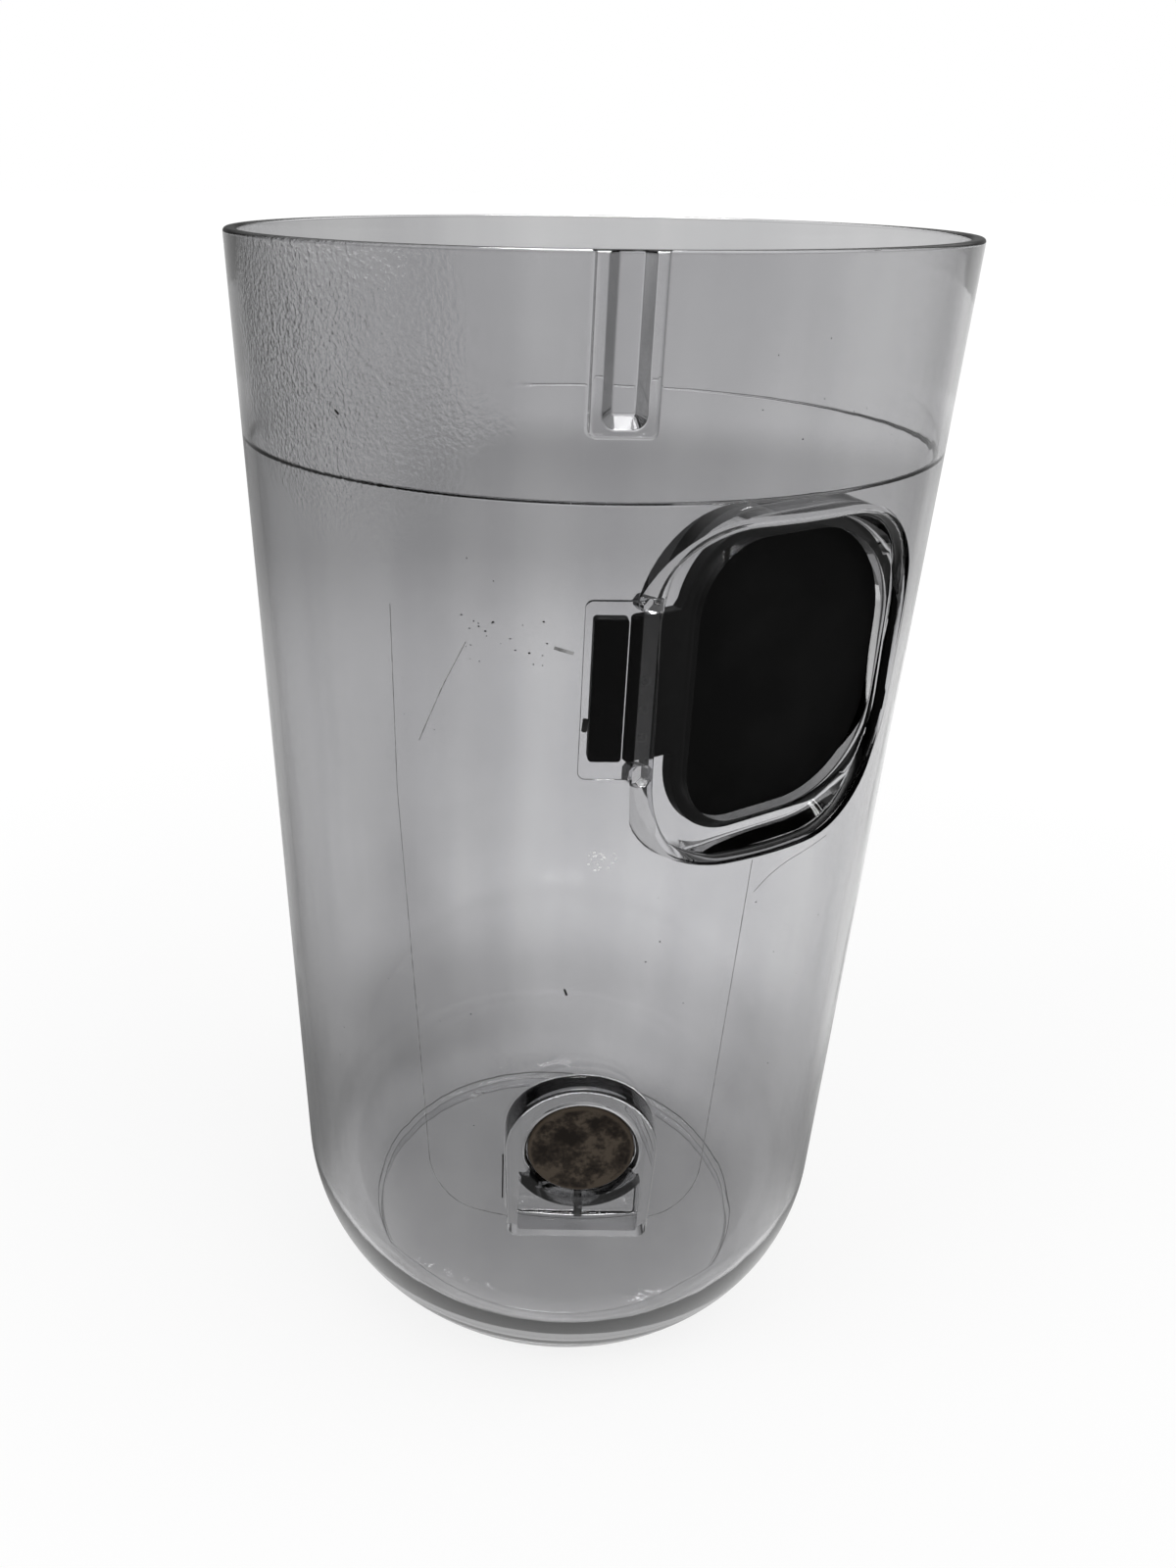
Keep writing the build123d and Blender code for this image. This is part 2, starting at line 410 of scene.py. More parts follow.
class ShaderGraph(NodeGraph):
    """Nodes of one material or world, with short calls for the ones that finishes share."""

    # Sums on vectors that give a plain number, and the mix node's sockets for colours.
    number_sums = ("DOT_PRODUCT", "DISTANCE", "LENGTH")
    mix_inputs = (0, 6, 7)
    mix_output = 2

    def __init__(self, owner: Finish | bpy.types.World) -> None:
        """Empties the owner's nodes and gives it an output."""
        owner.use_nodes = True
        super().__init__(owner.node_tree)
        self.owner = owner
        self.tree.nodes.clear()
        is_world = isinstance(owner, bpy.types.World)
        self.output = self.node("ShaderNodeOutputWorld" if is_world else "ShaderNodeOutputMaterial")
        coordinates = self.node("ShaderNodeTexCoord")
        self.place = coordinates.outputs["Generated" if is_world else "Object"]

    @classmethod
    def named(cls, name: str) -> "ShaderGraph":
        """Returns the graph of a new material."""
        return cls(bpy.data.materials.new(name))

    def shader(self, kind: str, **inputs: object) -> Signal:
        """Adds a shader node, with inputs by name, and returns its output."""
        return self.node(kind, **inputs).outputs[0]

    def show(self, surface: Signal) -> None:
        """Links a shader to the output."""
        self.feed(self.output.inputs["Surface"], surface)

    def principled(self, **inputs: object) -> None:
        """Adds the principled shader, with inputs by name, and shows it."""
        self.show(self.shader("ShaderNodeBsdfPrincipled", **inputs))

    def rays(self) -> bpy.types.NodeOutputs:
        """Returns what is known of a ray's path."""
        return self.node("ShaderNodeLightPath").outputs

    def math(self, operation: str, *values: object) -> Signal:
        """Returns the result of one sum on sockets or numbers."""
        node = self.node("ShaderNodeMath", *values)
        node.operation = operation
        return node.outputs[0]

    def vector(self, operation: str, *values: object) -> Signal:
        """Returns the result of one sum on vectors or colours, a number where the sum gives one."""
        node = self.node("ShaderNodeVectorMath", *values)
        node.operation = operation
        return node.outputs["Value" if operation in self.number_sums else "Vector"]

    def dot(self, first: object, second: object) -> Signal:
        """Returns the dot product of two vectors."""
        return self.vector("DOT_PRODUCT", first, second)

    def span(
        self, value: Signal, low: float, high: float, to_low: float = 0.0, to_high: float = 1.0
    ) -> Signal:
        """Returns a value mapped smoothly from one range to another."""
        node = self.node(
            "ShaderNodeMapRange", Value=value, From_Min=low, From_Max=high, To_Min=to_low, To_Max=to_high
        )
        node.interpolation_type = "SMOOTHSTEP"
        return node.outputs[0]

    def near(self, centre: Vector, reach: float, core: float) -> Signal:
        """Returns 1 around a place, which falls to 0 at its reach; lengths are in metres."""
        return self.span(self.vector("DISTANCE", self.place, centre), core, reach, 1.0, 0.0)

    def facets(self, pitch: float, slope: float) -> Signal:
        """Returns the height of flat facets with random tilts, in metres.

        Args:
            pitch: Size of a facet in metres.
            slope: Steepest slope of a facet along each axis.

        Returns:
            The height over the object.
        """
        cells = self.node("ShaderNodeTexVoronoi", Vector=self.place, Scale=1 / pitch).outputs
        offset = self.vector("SUBTRACT", self.place, cells["Position"])
        tilt = self.vector("MULTIPLY_ADD", cells["Color"], (2 * slope,) * 3, (-slope,) * 3)
        return self.dot(offset, tilt)

    def ramp(
        self, value: Signal, spots: Sequence[float], colours: Sequence[Colour], ease: str = "LINEAR"
    ) -> Signal:
        """Returns a colour from a value, through one colour at each spot."""
        node = self.node("ShaderNodeValToRGB", value)
        node.color_ramp.interpolation = ease
        elements = node.color_ramp.elements
        while len(elements) < len(spots):
            elements.new(1.0)
        for element, spot, colour in zip(elements, spots, colours):
            element.position = spot
            element.color = colour
        return node.outputs[0]

    def levels(self, value: Signal, levels: Sequence[Flat]) -> Signal:
        """Returns a grey from a value, eased through levels of (spot, level)."""
        return self.ramp(value, [spot for spot, _ in levels], [grey(level) for _, level in levels], "EASE")

    def tint(self, share: object, first: object, second: object, way: str = "MIX") -> Signal:
        """Returns a mix of two colours by a share."""
        node = self.node("ShaderNodeMix")
        node.data_type = "RGBA"
        node.blend_type = way
        for index, value in zip(self.mix_inputs, (share, first, second)):
            self.feed(node.inputs[index], value)
        return node.outputs[self.mix_output]

    def times(self, first: object, second: object) -> Signal:
        """Returns the product of two colours."""
        return self.tint(1.0, first, second, "MULTIPLY")

    def blend(self, share: object, first: object, second: object) -> Signal:
        """Returns a mix of two shaders by a share."""
        return self.node("ShaderNodeMixShader", share, first, second).outputs[0]

    def bump(self, height: Signal, strength: float, depth: float) -> Signal:
        """Returns a normal from a height, with the depth in metres."""
        return self.node("ShaderNodeBump", Strength=strength, Distance=depth, Height=height).outputs[0]


# Finishes


@dataclass(frozen=True)
class Mottle:
    """Cloudy pattern: its features per metre, its detail and, where it is stretched, its scale by axis."""

    scale: float
    detail: float
    stretch: Triple | None = None

    def on(self, graph: ShaderGraph) -> Signal:
        """Returns the pattern's value over the object."""
        place = graph.place
        if self.stretch is not None:
            place = graph.node("ShaderNodeMapping", Vector=place, Scale=self.stretch).outputs[0]
        noise = graph.node("ShaderNodeTexNoise", Vector=place, Scale=self.scale, Detail=self.detail)
        return noise.outputs["Fac"]


@dataclass(frozen=True)
class Spot:
    """Round spot of wear on the bin, by its angle, distance from the axis, height and reach.

    Its core is the share of the reach that is fully worn.
    """

    angle_deg: float
    out: float
    height: float
    reach: float
    core: float = 0.25

    def mask(self, graph: ShaderGraph) -> Signal:
        """Returns 1 in the spot's core, which falls to 0 at its reach."""
        centre = Facing(self.angle_deg).at(0, self.height, self.out)
        return graph.near(centre, self.reach * MM, self.core * self.reach * MM)


@dataclass(frozen=True)
class ClearPlastic:
    """Smoke-tinted clear plastic, glossy, with scuffs and a grained patch; its tint is faintly streaked
    upright with painted reflection streaks.
    """

    tint: Colour = (0.72, 0.72, 0.732, 1.0)
    haze: Colour = (0.8, 0.8, 0.808, 1.0)
    haze_span: Flat = (0.6, 0.9)
    cloud: Mottle = Mottle(38.0, 4.0)
    cloud_share: float = 0.5
    # Upright streaks that lighten the tint towards the haze: painted reflection streaks of the surroundings.
    painted_streak: Mottle = Mottle(60.0, 3.0, (1.0, 1.0, 0.07))
    ior: float = 1.56
    gloss: float = 0.012
    scuffed: float = 0.06
    scuff: Mottle = Mottle(160.0, 6.0)
    scuff_span: Flat = (0.56, 0.74)
    swirl: Mottle = Mottle(120.0, 2.0, (1.0, 1.0, 0.25))
    swirl_depth: float = 0.03
    grained: Spot = Spot(-72.0, 49.7, 161.0, 26.0)
    grain: Mottle = Mottle(1700.0, 3.0)
    grain_depth: float = 0.13
    facet_pitch: float = 0.9
    facet_slope: float = 0.4
    facet_patch: Mottle = Mottle(420.0, 2.0)
    facet_span: Flat = (0.42, 0.6)
    scratched: tuple[Spot, ...] = (
        Spot(-3.5, 31.6, 4.5, 4.6),
        Spot(-80.4, 32.1, 4.5, 3.0),
        Spot(-72.8, 30.4, 4.5, 2.2),
        Spot(-64.1, 29.1, 4.5, 1.8),
        Spot(-57.1, 28.4, 4.5, 1.4),
        Spot(179.3, 32.6, 4.5, 3.8),
        Spot(-161.6, 34.0, 4.6, 3.2),
        Spot(162.5, 35.4, 5.7, 2.8),
        Spot(164.0, 38.0, 8.3, 3.2),
        Spot(133.9, 36.4, 6.6, 2.6),
    )

    def relief(self, graph: ShaderGraph) -> Signal:
        """Returns the height of the surface in metres: swirls, the grained patch and facets."""
        height = graph.math("MULTIPLY", self.swirl.on(graph), self.swirl_depth * MM)
        grain = graph.math("MULTIPLY", self.grained.mask(graph), self.grain.on(graph))
        height = graph.math("ADD", height, graph.math("MULTIPLY", grain, self.grain_depth * MM))
        worn = self.scratched[0].mask(graph)
        for spot in self.scratched[1:]:
            worn = graph.math("MAXIMUM", worn, spot.mask(graph))
        worn = graph.math("MULTIPLY", worn, graph.span(self.facet_patch.on(graph), *self.facet_span))
        facets = graph.math("MULTIPLY", worn, graph.facets(self.facet_pitch * MM, self.facet_slope))
        return graph.math("ADD", height, facets)

    def make(self) -> Finish:
        """Returns the finish as a material."""
        graph = ShaderGraph.named("clear_plastic")
        # Random clouds of tone plus the painted reflection streaks, eased from the tint to the haze.
        clouds = graph.math("MULTIPLY", self.cloud.on(graph), self.cloud_share)
        body = graph.math("ADD", clouds, self.painted_streak.on(graph))
        wear = graph.span(self.scuff.on(graph), *self.scuff_span)
        graph.principled(
            Base_Color=graph.ramp(body, self.haze_span, (self.tint, self.haze)),
            Roughness=graph.math("MULTIPLY_ADD", wear, self.scuffed, self.gloss),
            IOR=self.ior,
            Transmission_Weight=1.0,
            Normal=graph.bump(self.relief(graph), 1.0, 1.0),
        )
        return graph.owner


@dataclass(frozen=True)
class BlackRubber:
    """Matt black rubber with a dusty bloom."""

    black: Colour = grey(0.003)
    dusty: Colour = grey(0.007)
    bloom: Mottle = Mottle(90.0, 6.0)
    dusty_span: Flat = (0.4, 0.75)
    rough_span: Flat = (0.3, 0.7)
    roughness: Flat = (0.42, 0.6)
    shine: float = 0.1
    skin: Mottle = Mottle(2600.0, 2.0)
    skin_strength: float = 0.12
    skin_depth: float = 0.04

    def make(self) -> Finish:
        """Returns the finish as a material."""
        graph = ShaderGraph.named("black_rubber")
        bloom = self.bloom.on(graph)
        graph.principled(
            Base_Color=graph.ramp(bloom, self.dusty_span, (self.black, self.dusty)),
            Roughness=graph.span(bloom, *self.rough_span, *self.roughness),
            Specular_IOR_Level=self.shine,
            Normal=graph.bump(self.skin.on(graph), self.skin_strength, self.skin_depth * MM),
        )
        return graph.owner


@dataclass(frozen=True)
class TarnishedMetal:
    """Brown tarnish on a plated disc, mottled, with a paler ring near its edge."""

    facing: Facing
    height: float
    out: float
    radius: float
    dark: Colour = (0.01, 0.0065, 0.004, 1.0)
    brown: Colour = (0.027, 0.0195, 0.0135, 1.0)
    pale: Colour = (0.07, 0.054, 0.039, 1.0)
    tones: Triple = (0.48, 0.58, 0.68)
    stain: Mottle = Mottle(330.0, 6.0)
    stain_share: float = 0.8
    speck: Mottle = Mottle(1500.0, 3.0)
    speck_share: float = 0.35
    edge_band: Flat = (0.15, 0.75)
    metallic: float = 0.2
    shine: float = 0.25
    rough_span: Flat = (0.4, 0.8)
    roughness: Flat = (0.34, 0.62)
    relief_strength: float = 0.25
    relief_depth: float = 0.1

    def make(self) -> Finish:
        """Returns the finish as a material."""
        graph = ShaderGraph.named("magnet_metal")
        specks = graph.math("MULTIPLY", self.speck.on(graph), self.speck_share)
        stains = graph.math("MULTIPLY", self.stain.on(graph), self.stain_share)
        mottled = graph.math("ADD", specks, stains)
        colour = graph.ramp(mottled, self.tones, (self.dark, self.brown, self.pale))
        centre = self.facing.at(0, self.height, self.out)
        reach, core = ((self.radius - band) * MM for band in self.edge_band)
        graph.principled(
            Base_Color=graph.tint(graph.near(centre, reach, core), self.pale, colour),
            Metallic=self.metallic,
            Specular_IOR_Level=self.shine,
            Roughness=graph.span(mottled, *self.rough_span, *self.roughness),
            Normal=graph.bump(mottled, self.relief_strength, self.relief_depth * MM),
        )
        return graph.owner


@dataclass(frozen=True)
class PlainMark:
    """Finish of a thin mark on the wall: a parting line, a scratch or a grain of dirt, and also of the dark
    lines of painted shade in creases and at the boss's edge.
    """

    name: str
    dark: Colour
    light: Colour
    patches: Mottle = Mottle(700.0, 3.0)
    light_span: Flat = (0.35, 0.7)
    roughness: float = 0.45
    shine: float = 0.2

    def make(self) -> Finish:
        """Returns the finish as a material."""
        graph = ShaderGraph.named(self.name)
        graph.principled(
            Base_Color=graph.ramp(self.patches.on(graph), self.light_span, (self.dark, self.light)),
            Roughness=self.roughness,
            Specular_IOR_Level=self.shine,
        )
        return graph.owner


# The clear bin


@dataclass(frozen=True)
class Wall:
    """Drafted wall, round bottom, foot ring and lid seat of the bin."""

    rim_r: float = 50.0
    height: float = 174.0
    wall: float = 1.7
    draft_deg: float = 1.61
    seat_depth: float = 26.1
    corner_r: float = 31.3
    corner_z: float = 24.5
    inner_corner_r: float = 24.6
    floor_z: float = 4.5
    floor: float = 2.0
    foot_w: float = 0.8
    rim_round: float = 0.5
    foot_round: float = 0.3
    floor_round: float = 0.5
    ledge_round: float = 0.3
    row: float = 5.0
    edge_steps: int = 5
    arc_steps: int = 28
    turns: int = 320
    merge: float = 0.0005
    slack: float = 0.006
    true_deg: float = 8.0
    lift: float = 0.006
    sunk: float = 0.6
    raised_steps: int = 4
    raised_fill: Flat = (0.35, 0.7)

    def outer_radius(self, z: float) -> float:
        """Returns the radius of the outer wall at a height."""
        return self.rim_r - math.tan(math.radians(self.draft_deg)) * (self.height - z)

    def inner_radius(self, z: float) -> float:
        """Returns the radius of the inner wall at a height."""
        return self.outer_radius(z) - self.wall / math.cos(math.radians(self.draft_deg))

    def outer_out(self, along: float, z: float, depth: float = 0.0) -> float:
        """Returns how far out the outer wall lies, less a depth, beside a facing's line."""
        return math.sqrt((self.outer_radius(z) - depth) ** 2 - along**2)

    def ring(
        self, facing: Facing, points: Iterable[Vector], rise: float = 0.0, depth: float = 0.0
    ) -> list[Vector]:
        """Returns the places in metres of flat points laid on the outer wall.

        Args:
            facing: Frame that the points stand in.
            points: The flat points.
            rise: How far they are moved straight out of the wall.
            depth: How much smaller the wall's radius is taken.

        Returns:
            The places, in order.
        """
        return [facing.at(p.x, p.y, self.outer_out(p.x, p.y, depth) + rise) for p in points]

    def below_rim(self, points: Iterable[Vector]) -> list[Vector]:
        """Returns flat points, with those above the rim brought down to it."""
        return [Vector((p.x, min(p.y, self.height))) for p in points]

    def corner(self, wall_r: float, radius: float, end_z: float) -> list[Flat]:
        """Returns a bottom corner's arc from the wall down to a height, as (radius, height)."""
        centre = (wall_r - radius / math.cos(math.radians(self.draft_deg)), self.corner_z)
        end_deg = -math.degrees(math.asin((self.corner_z - end_z) / radius))
        return arc(centre, radius, -self.draft_deg, end_deg, self.arc_steps)

    def profile(self) -> list[Flat]:
        """Returns the section of the bin from the axis under the floor round to the axis on it."""
        outer = self.corner(self.outer_radius(self.corner_z), self.corner_r, 0)[::-1]
        inner = self.corner(self.inner_radius(self.corner_z), self.inner_corner_r, self.floor_z)
        recess_r, recess_z = outer[0][0] - self.foot_w, self.floor_z - self.floor
        bore_r, ledge_z = self.rim_r - self.wall, self.height - self.seat_depth
        corners = [
            (0.0, recess_z, 0.0),
            (recess_r, recess_z, self.foot_round),
            (recess_r, 0.0, self.foot_round),
            (*outer[0], self.foot_round),
            *[(*point, 0.0) for point in outer[1:]],
            (self.rim_r, self.height, self.rim_round),
            (bore_r, self.height, self.rim_round),
            (bore_r, ledge_z, self.ledge_round),
            (self.inner_radius(ledge_z), ledge_z, self.ledge_round),
            *[(*point, 0.0) for point in inner[:-1]],
            (*inner[-1], self.floor_round),
            (0.0, self.floor_z, 0.0),
        ]
        points = round_corners(corners, closed=False, steps=self.edge_steps)
        section = [points[0]]
        for here, ahead in zip(points, points[1:]):
            rows = math.ceil(math.dist(here, ahead) / self.row)
            section += [tuple(Vector(here).lerp(Vector(ahead), row / rows)) for row in range(1, rows + 1)]
        return section

    def true_normal(self, place: Vector) -> Vector | None:
        """Returns the exact normal of the plain wall at a place in metres, or None elsewhere."""
        x, y, z = place / MM
        radius = math.hypot(x, y)
        draft, ledge_z = math.radians(self.draft_deg), self.height - self.seat_depth
        if z < self.corner_z or z > self.height - 2 * self.rim_round:
            return None
        out = Vector((x / radius, y / radius, 0))
        slant = out * math.cos(draft) - Vector((0, 0, math.sin(draft)))
        if abs(radius - self.outer_radius(z)) < self.slack:
            return slant
        if z > ledge_z + 2 * self.ledge_round and abs(radius - self.rim_r + self.wall) < self.slack:
            return -out
        if z < ledge_z - 2 * self.ledge_round and abs(radius - self.inner_radius(z)) < self.slack:
            return -slant
        return None

    def true_up(self, obj: Piece) -> None:
        """Gives the plain wall of a finished bin its exact normals."""
        mesh = obj.data
        normals = [corner.vector.copy() for corner in mesh.corner_normals]
        exact = [self.true_normal(vertex.co) for vertex in mesh.vertices]
        close = math.cos(math.radians(self.true_deg))
        for face in mesh.polygons:
            for corner in face.loop_indices:
                normal = exact[mesh.loops[corner].vertex_index]
                if normal is not None and normal.dot(face.normal) > close:
                    normals[corner] = normal
        mesh.normals_split_custom_set(normals)

    def build(self, finish: Finish) -> Piece:
        """Revolves the section and returns the bare bin."""
        places = [Vector(((r - self.rim_r) * MM, -z * MM, 0)) for r, z in self.profile()]
        made = plain_object("bin_shell", places, [(i, i + 1) for i in range(len(places) - 1)])
        recipe = GeometryRecipe("revolve_section")
        radius = recipe.size("Rim Radius", Socket.LENGTH, self.rim_r * MM)
        turns = recipe.size("Turns", Socket.COUNT, self.turns)
        merge = recipe.size("Merge Distance", Socket.LENGTH, self.merge * MM)
        line = recipe.node("GeometryNodeMeshToCurve", Mesh=recipe.source.outputs[0])
        ring = recipe.node("GeometryNodeCurvePrimitiveCircle", Resolution=turns, Radius=radius)
        skin = recipe.node("GeometryNodeCurveToMesh", Curve=ring.outputs[0], Profile_Curve=line.outputs[0])
        whole = recipe.node("GeometryNodeMergeByDistance", Geometry=skin.outputs[0], Distance=merge)
        recipe.run(made, whole, finish)
        self.turn_out(made)
        return made

    def raised(
        self, name: str, outline: Outline, facing: Facing, face: float, foot_round: float, edge_round: float
    ) -> Piece:
        """Makes a form that stands on the outer wall, with a hollow round at its foot.

        Args:
            name: Name of the object.
            outline: Its outline, seen from outside.
            facing: Frame that it stands in.
            face: Distance of its flat face from the axis.
            foot_round: Radius of the hollow round where it meets the wall.
            edge_round: Radius of its outer edge.

        Returns:
            The closed form, which ends inside the wall.
        """
        rings = [self.ring(facing, outline.shrunk(share), depth=self.sunk) for share in self.raised_fill]
        rows = [(foot_round, -self.sunk)]
        rows += [(grow, rise + self.lift) for grow, rise in quarter_round(foot_round, self.raised_steps)]
        rings += [self.ring(facing, self.below_rim(outline.grown(grow)), rise) for grow, rise in rows]
        for drop, inset in quarter_round(edge_round, self.raised_steps):
            rings.append(facing.ring(self.below_rim(outline.grown(-inset)), face - drop))
        return loft(name, rings)

    @staticmethod
    def turn_out(obj: Piece) -> None:
        """Makes the faces of a closed object point outwards."""
        work = bmesh.new()
        work.from_mesh(obj.data)
        bmesh.ops.recalc_face_normals(work, faces=work.faces)
        work.to_mesh(obj.data)
        work.free()


@dataclass(frozen=True)
class InletPort:
    """Short tube through the wall, the seat plate behind it and the hinge cheeks."""

    wall: Wall
    facing: Facing = Facing(0.0)
    seat_out: float = 41.4
    seat_t: float = 1.8
    seat_round: float = 0.35
    seat_steps: int = 4
    centre: Flat = (-0.6, 123.1)
    width: float = 38.8
    height: float = 41.2
    corner: float = 11.0
    right_corner: float = 15.0
    tube_wall: float = 2.2
    tube_flare: float = 0.5
    tube_fill: tuple[float, ...] = (1.0, 0.8, 0.6, 0.4, 0.2)
    mouth_round: float = 1.8
    mouth_steps: int = 8
    mouth_spare: float = 0.1
    lip_sunk: float = 0.004
    lip_clear: float = 0.5
    past_rim: float = 5.0
    door_x: float = 2.4
    opening_w: float = 32.0
    opening_h: float = 37.8
    opening_corner: float = 9.4
    opening_right: float = 14.0
    opening_spare: float = 0.5
    cheek_x: float = -19.7
    cheek_w: float = 2.7
    cheek_deep: float = 2.2
    cheek_edge: float = 0.7
    cheek_corner: float = 0.1
    cheek_steps: int = 2
    cheek_round: float = 0.08
    cheek_spans: tuple[Flat, Flat] = ((134.9, 136.7), (112.3, 115.3))

    def block(self) -> Piece:
        """Returns the tube as a solid block that ends inside the wall."""
        outline = Outline.box(
            self.centre,
            self.width + 2 * self.tube_wall,
            self.height + 2 * self.tube_wall,
            self.corner + self.tube_wall,
            self.right_corner + self.tube_wall,
        )
        rings = []
        for inset, rise in quarter_round(self.seat_round, self.seat_steps):
            rings.append(self.facing.ring(outline.grown(self.tube_flare - inset), self.seat_out + rise))
        for share in self.tube_fill:
            rings.append(self.wall.ring(self.facing, outline.shrunk(share), depth=self.wall.wall / 2))
        return loft("port_block", rings)

    def bore(self) -> Piece:
        """Returns the tool that cuts the bore and rounds its mouth."""
        outline = Outline.box(self.centre, self.width, self.height, self.corner, self.right_corner)
        columns = [self.mouth(point, normal) for point, normal in zip(outline.points, outline.normals())]
        return loft("port_bore", list(zip(*columns)))

    def mouth(self, point: Vector, normal: Vector) -> list[Vector]:
        """Returns one line of the bore tool, from the seat plate over the mouth's round to the open.

        Args:
            point: Place on the bore's outline.
            normal: Outward normal of the outline there.

        Returns:
            Places in metres, in order.
        """
        draft = math.radians(self.wall.draft_deg)
        edge = Vector((point.x, point.y, self.wall.outer_out(point.x, point.y)))
        lean = edge.x / self.wall.outer_radius(edge.y)
        skin = Vector((lean * math.cos(draft), -math.sin(draft), math.sqrt(1 - lean**2) * math.cos(draft)))
        inward = Vector((0, 0, -1))
        slope = -(normal.x * skin.x + normal.y * skin.y) / skin.z
        sideways = Vector((normal.x, normal.y, slope)).normalized()
        half = inward.angle(sideways) / 2
        plate_out = self.seat_out + self.seat_t
        reach = min(self.mouth_round / math.tan(half), edge.z - plate_out - self.mouth_spare)
        round_r = reach * math.tan(half)
        centre = edge + (inward + sideways).normalized() * round_r / math.sin(half)
        start = edge + inward * reach - centre
        end = edge + sideways * reach - centre
        lip = centre + end
        true_out = self.wall.outer_out(lip.x, lip.y) - self.lip_sunk
        line = [Vector((point.x, point.y, plate_out))]
        for step in range(self.mouth_steps + 1):
            share = step / self.mouth_steps
            place = centre + start.slerp(end, share) * round_r / start.length
            place.z += (true_out - lip.z) * share
            line.append(place)
        line.append(line[-1] + skin * self.lip_clear)
        line.append(Vector((line[-1].x, line[-1].y, self.wall.rim_r + self.past_rim)))
        return [self.facing.at(*place) for place in line]

    def opening(self) -> Piece:
        """Returns the tool that cuts the opening in the seat plate."""
        centre = (self.door_x, self.centre[1])
        outline = Outline.box(centre, self.opening_w, self.opening_h, self.opening_corner, self.opening_right)
        inner = self.seat_out - self.opening_spare
        outer = self.seat_out + self.seat_t + self.opening_spare
        return rounded_prism("seat_opening", outline, self.facing, inner, outer, 0, 0)

    def cheeks(self) -> list[Piece]:
        """Returns the two blocks above and below the flap's neck."""
        left, right = self.cheek_x - self.cheek_w / 2, self.cheek_x + self.cheek_w / 2
        inner, outer = self.seat_out - self.cheek_deep, self.seat_out + self.seat_t / 2
        cut = self.cheek_edge
        made = []
        for low, high in self.cheek_spans:
            foot = [(left + cut, low), (right - cut, low), (right, low + cut), (right, high - cut)]
            head = [(right - cut, high), (left + cut, high), (left, high - cut), (left, low + cut)]
            corners = [(u, v, self.cheek_corner) for u, v in foot + head]
            outline = Outline(round_corners(corners, closed=True, steps=self.cheek_steps))
            made.append(rounded_prism("hinge_cheek", outline, self.facing, inner, outer, self.cheek_round, 0))
        return made


@dataclass(frozen=True)
class StrapPad:
    """Flat pad on the inner wall that the rubber strap is seated on."""

    facing: Facing = Facing(-30.6)
    out: float = 46.3
    deep: float = 1.3
    middle: Flat = (0.76, 125.1)
    width: float = 9.0
    height: float = 23.0
    corner: float = 1.0
    edge_round: float = 0.2

    def build(self) -> Piece:
        """Returns the pad, which ends inside the wall."""
        outline = Outline.box(self.middle, self.width, self.height, self.corner)
        outer = self.out + self.deep
        return rounded_prism("strap_pad", outline, self.facing, self.out, outer, self.edge_round, 0)


@dataclass(frozen=True)
class LatchRib:
    """U-shaped rib on the front line, open at the rim."""

    wall: Wall
    facing: Facing
    width: float = 7.4
    height: float = 18.5
    face: float = 52.0
    bar: float = 2.1
    corner: float = 0.9
    corner_steps: int = 6
    foot_round: float = 0.4
    edge_round: float = 0.5
    slot_w: float = 2.8
    slot_corner: float = 0.45
    slot_edge: float = 0.25
    slot_lean: float = 0.95
    slot_steps: int = 4
    past_rim: float = 2.0
    past_face: float = 0.5

    def tongue(self, width: float, low: float, top: float, corner: float) -> Outline:
        """Returns an upright outline with round corners at its foot."""
        half = width / 2
        corners = [(-half, low, corner), (half, low, corner), (half, top, 0.0), (-half, top, 0.0)]
        return Outline(round_corners(corners, closed=True, steps=self.corner_steps))

    def block(self) -> Piece:
        """Returns the rib without its slot, as a solid that ends inside the wall."""
        top = self.wall.height
        outline = self.tongue(self.width, top - self.height, top, self.corner)
        rounds = (self.foot_round, self.edge_round)
        return self.wall.raised("latch_rib", outline, self.facing, self.face, *rounds)

    def slot(self) -> Piece:
        """Returns the tool that cuts the slot, with hollow rounds at the wall and round edges."""
        low, top = self.wall.height - self.height + self.bar, self.wall.height + self.past_rim
        outline = self.tongue(self.slot_w, low, top, self.slot_corner)
        rings = []
        for inset, rise in quarter_round(self.foot_round, self.slot_steps):
            rings.append(self.wall.ring(self.facing, outline.grown(-inset), rise + self.wall.lift))
        for drop, grow in quarter_round(self.slot_edge, self.slot_steps):
            ring = outline.grown(self.slot_lean + grow)
            rings.append(self.facing.ring(ring, self.face - drop))
        rings.append(self.facing.ring(ring, self.face + self.past_face))
        return loft("latch_slot", rings)


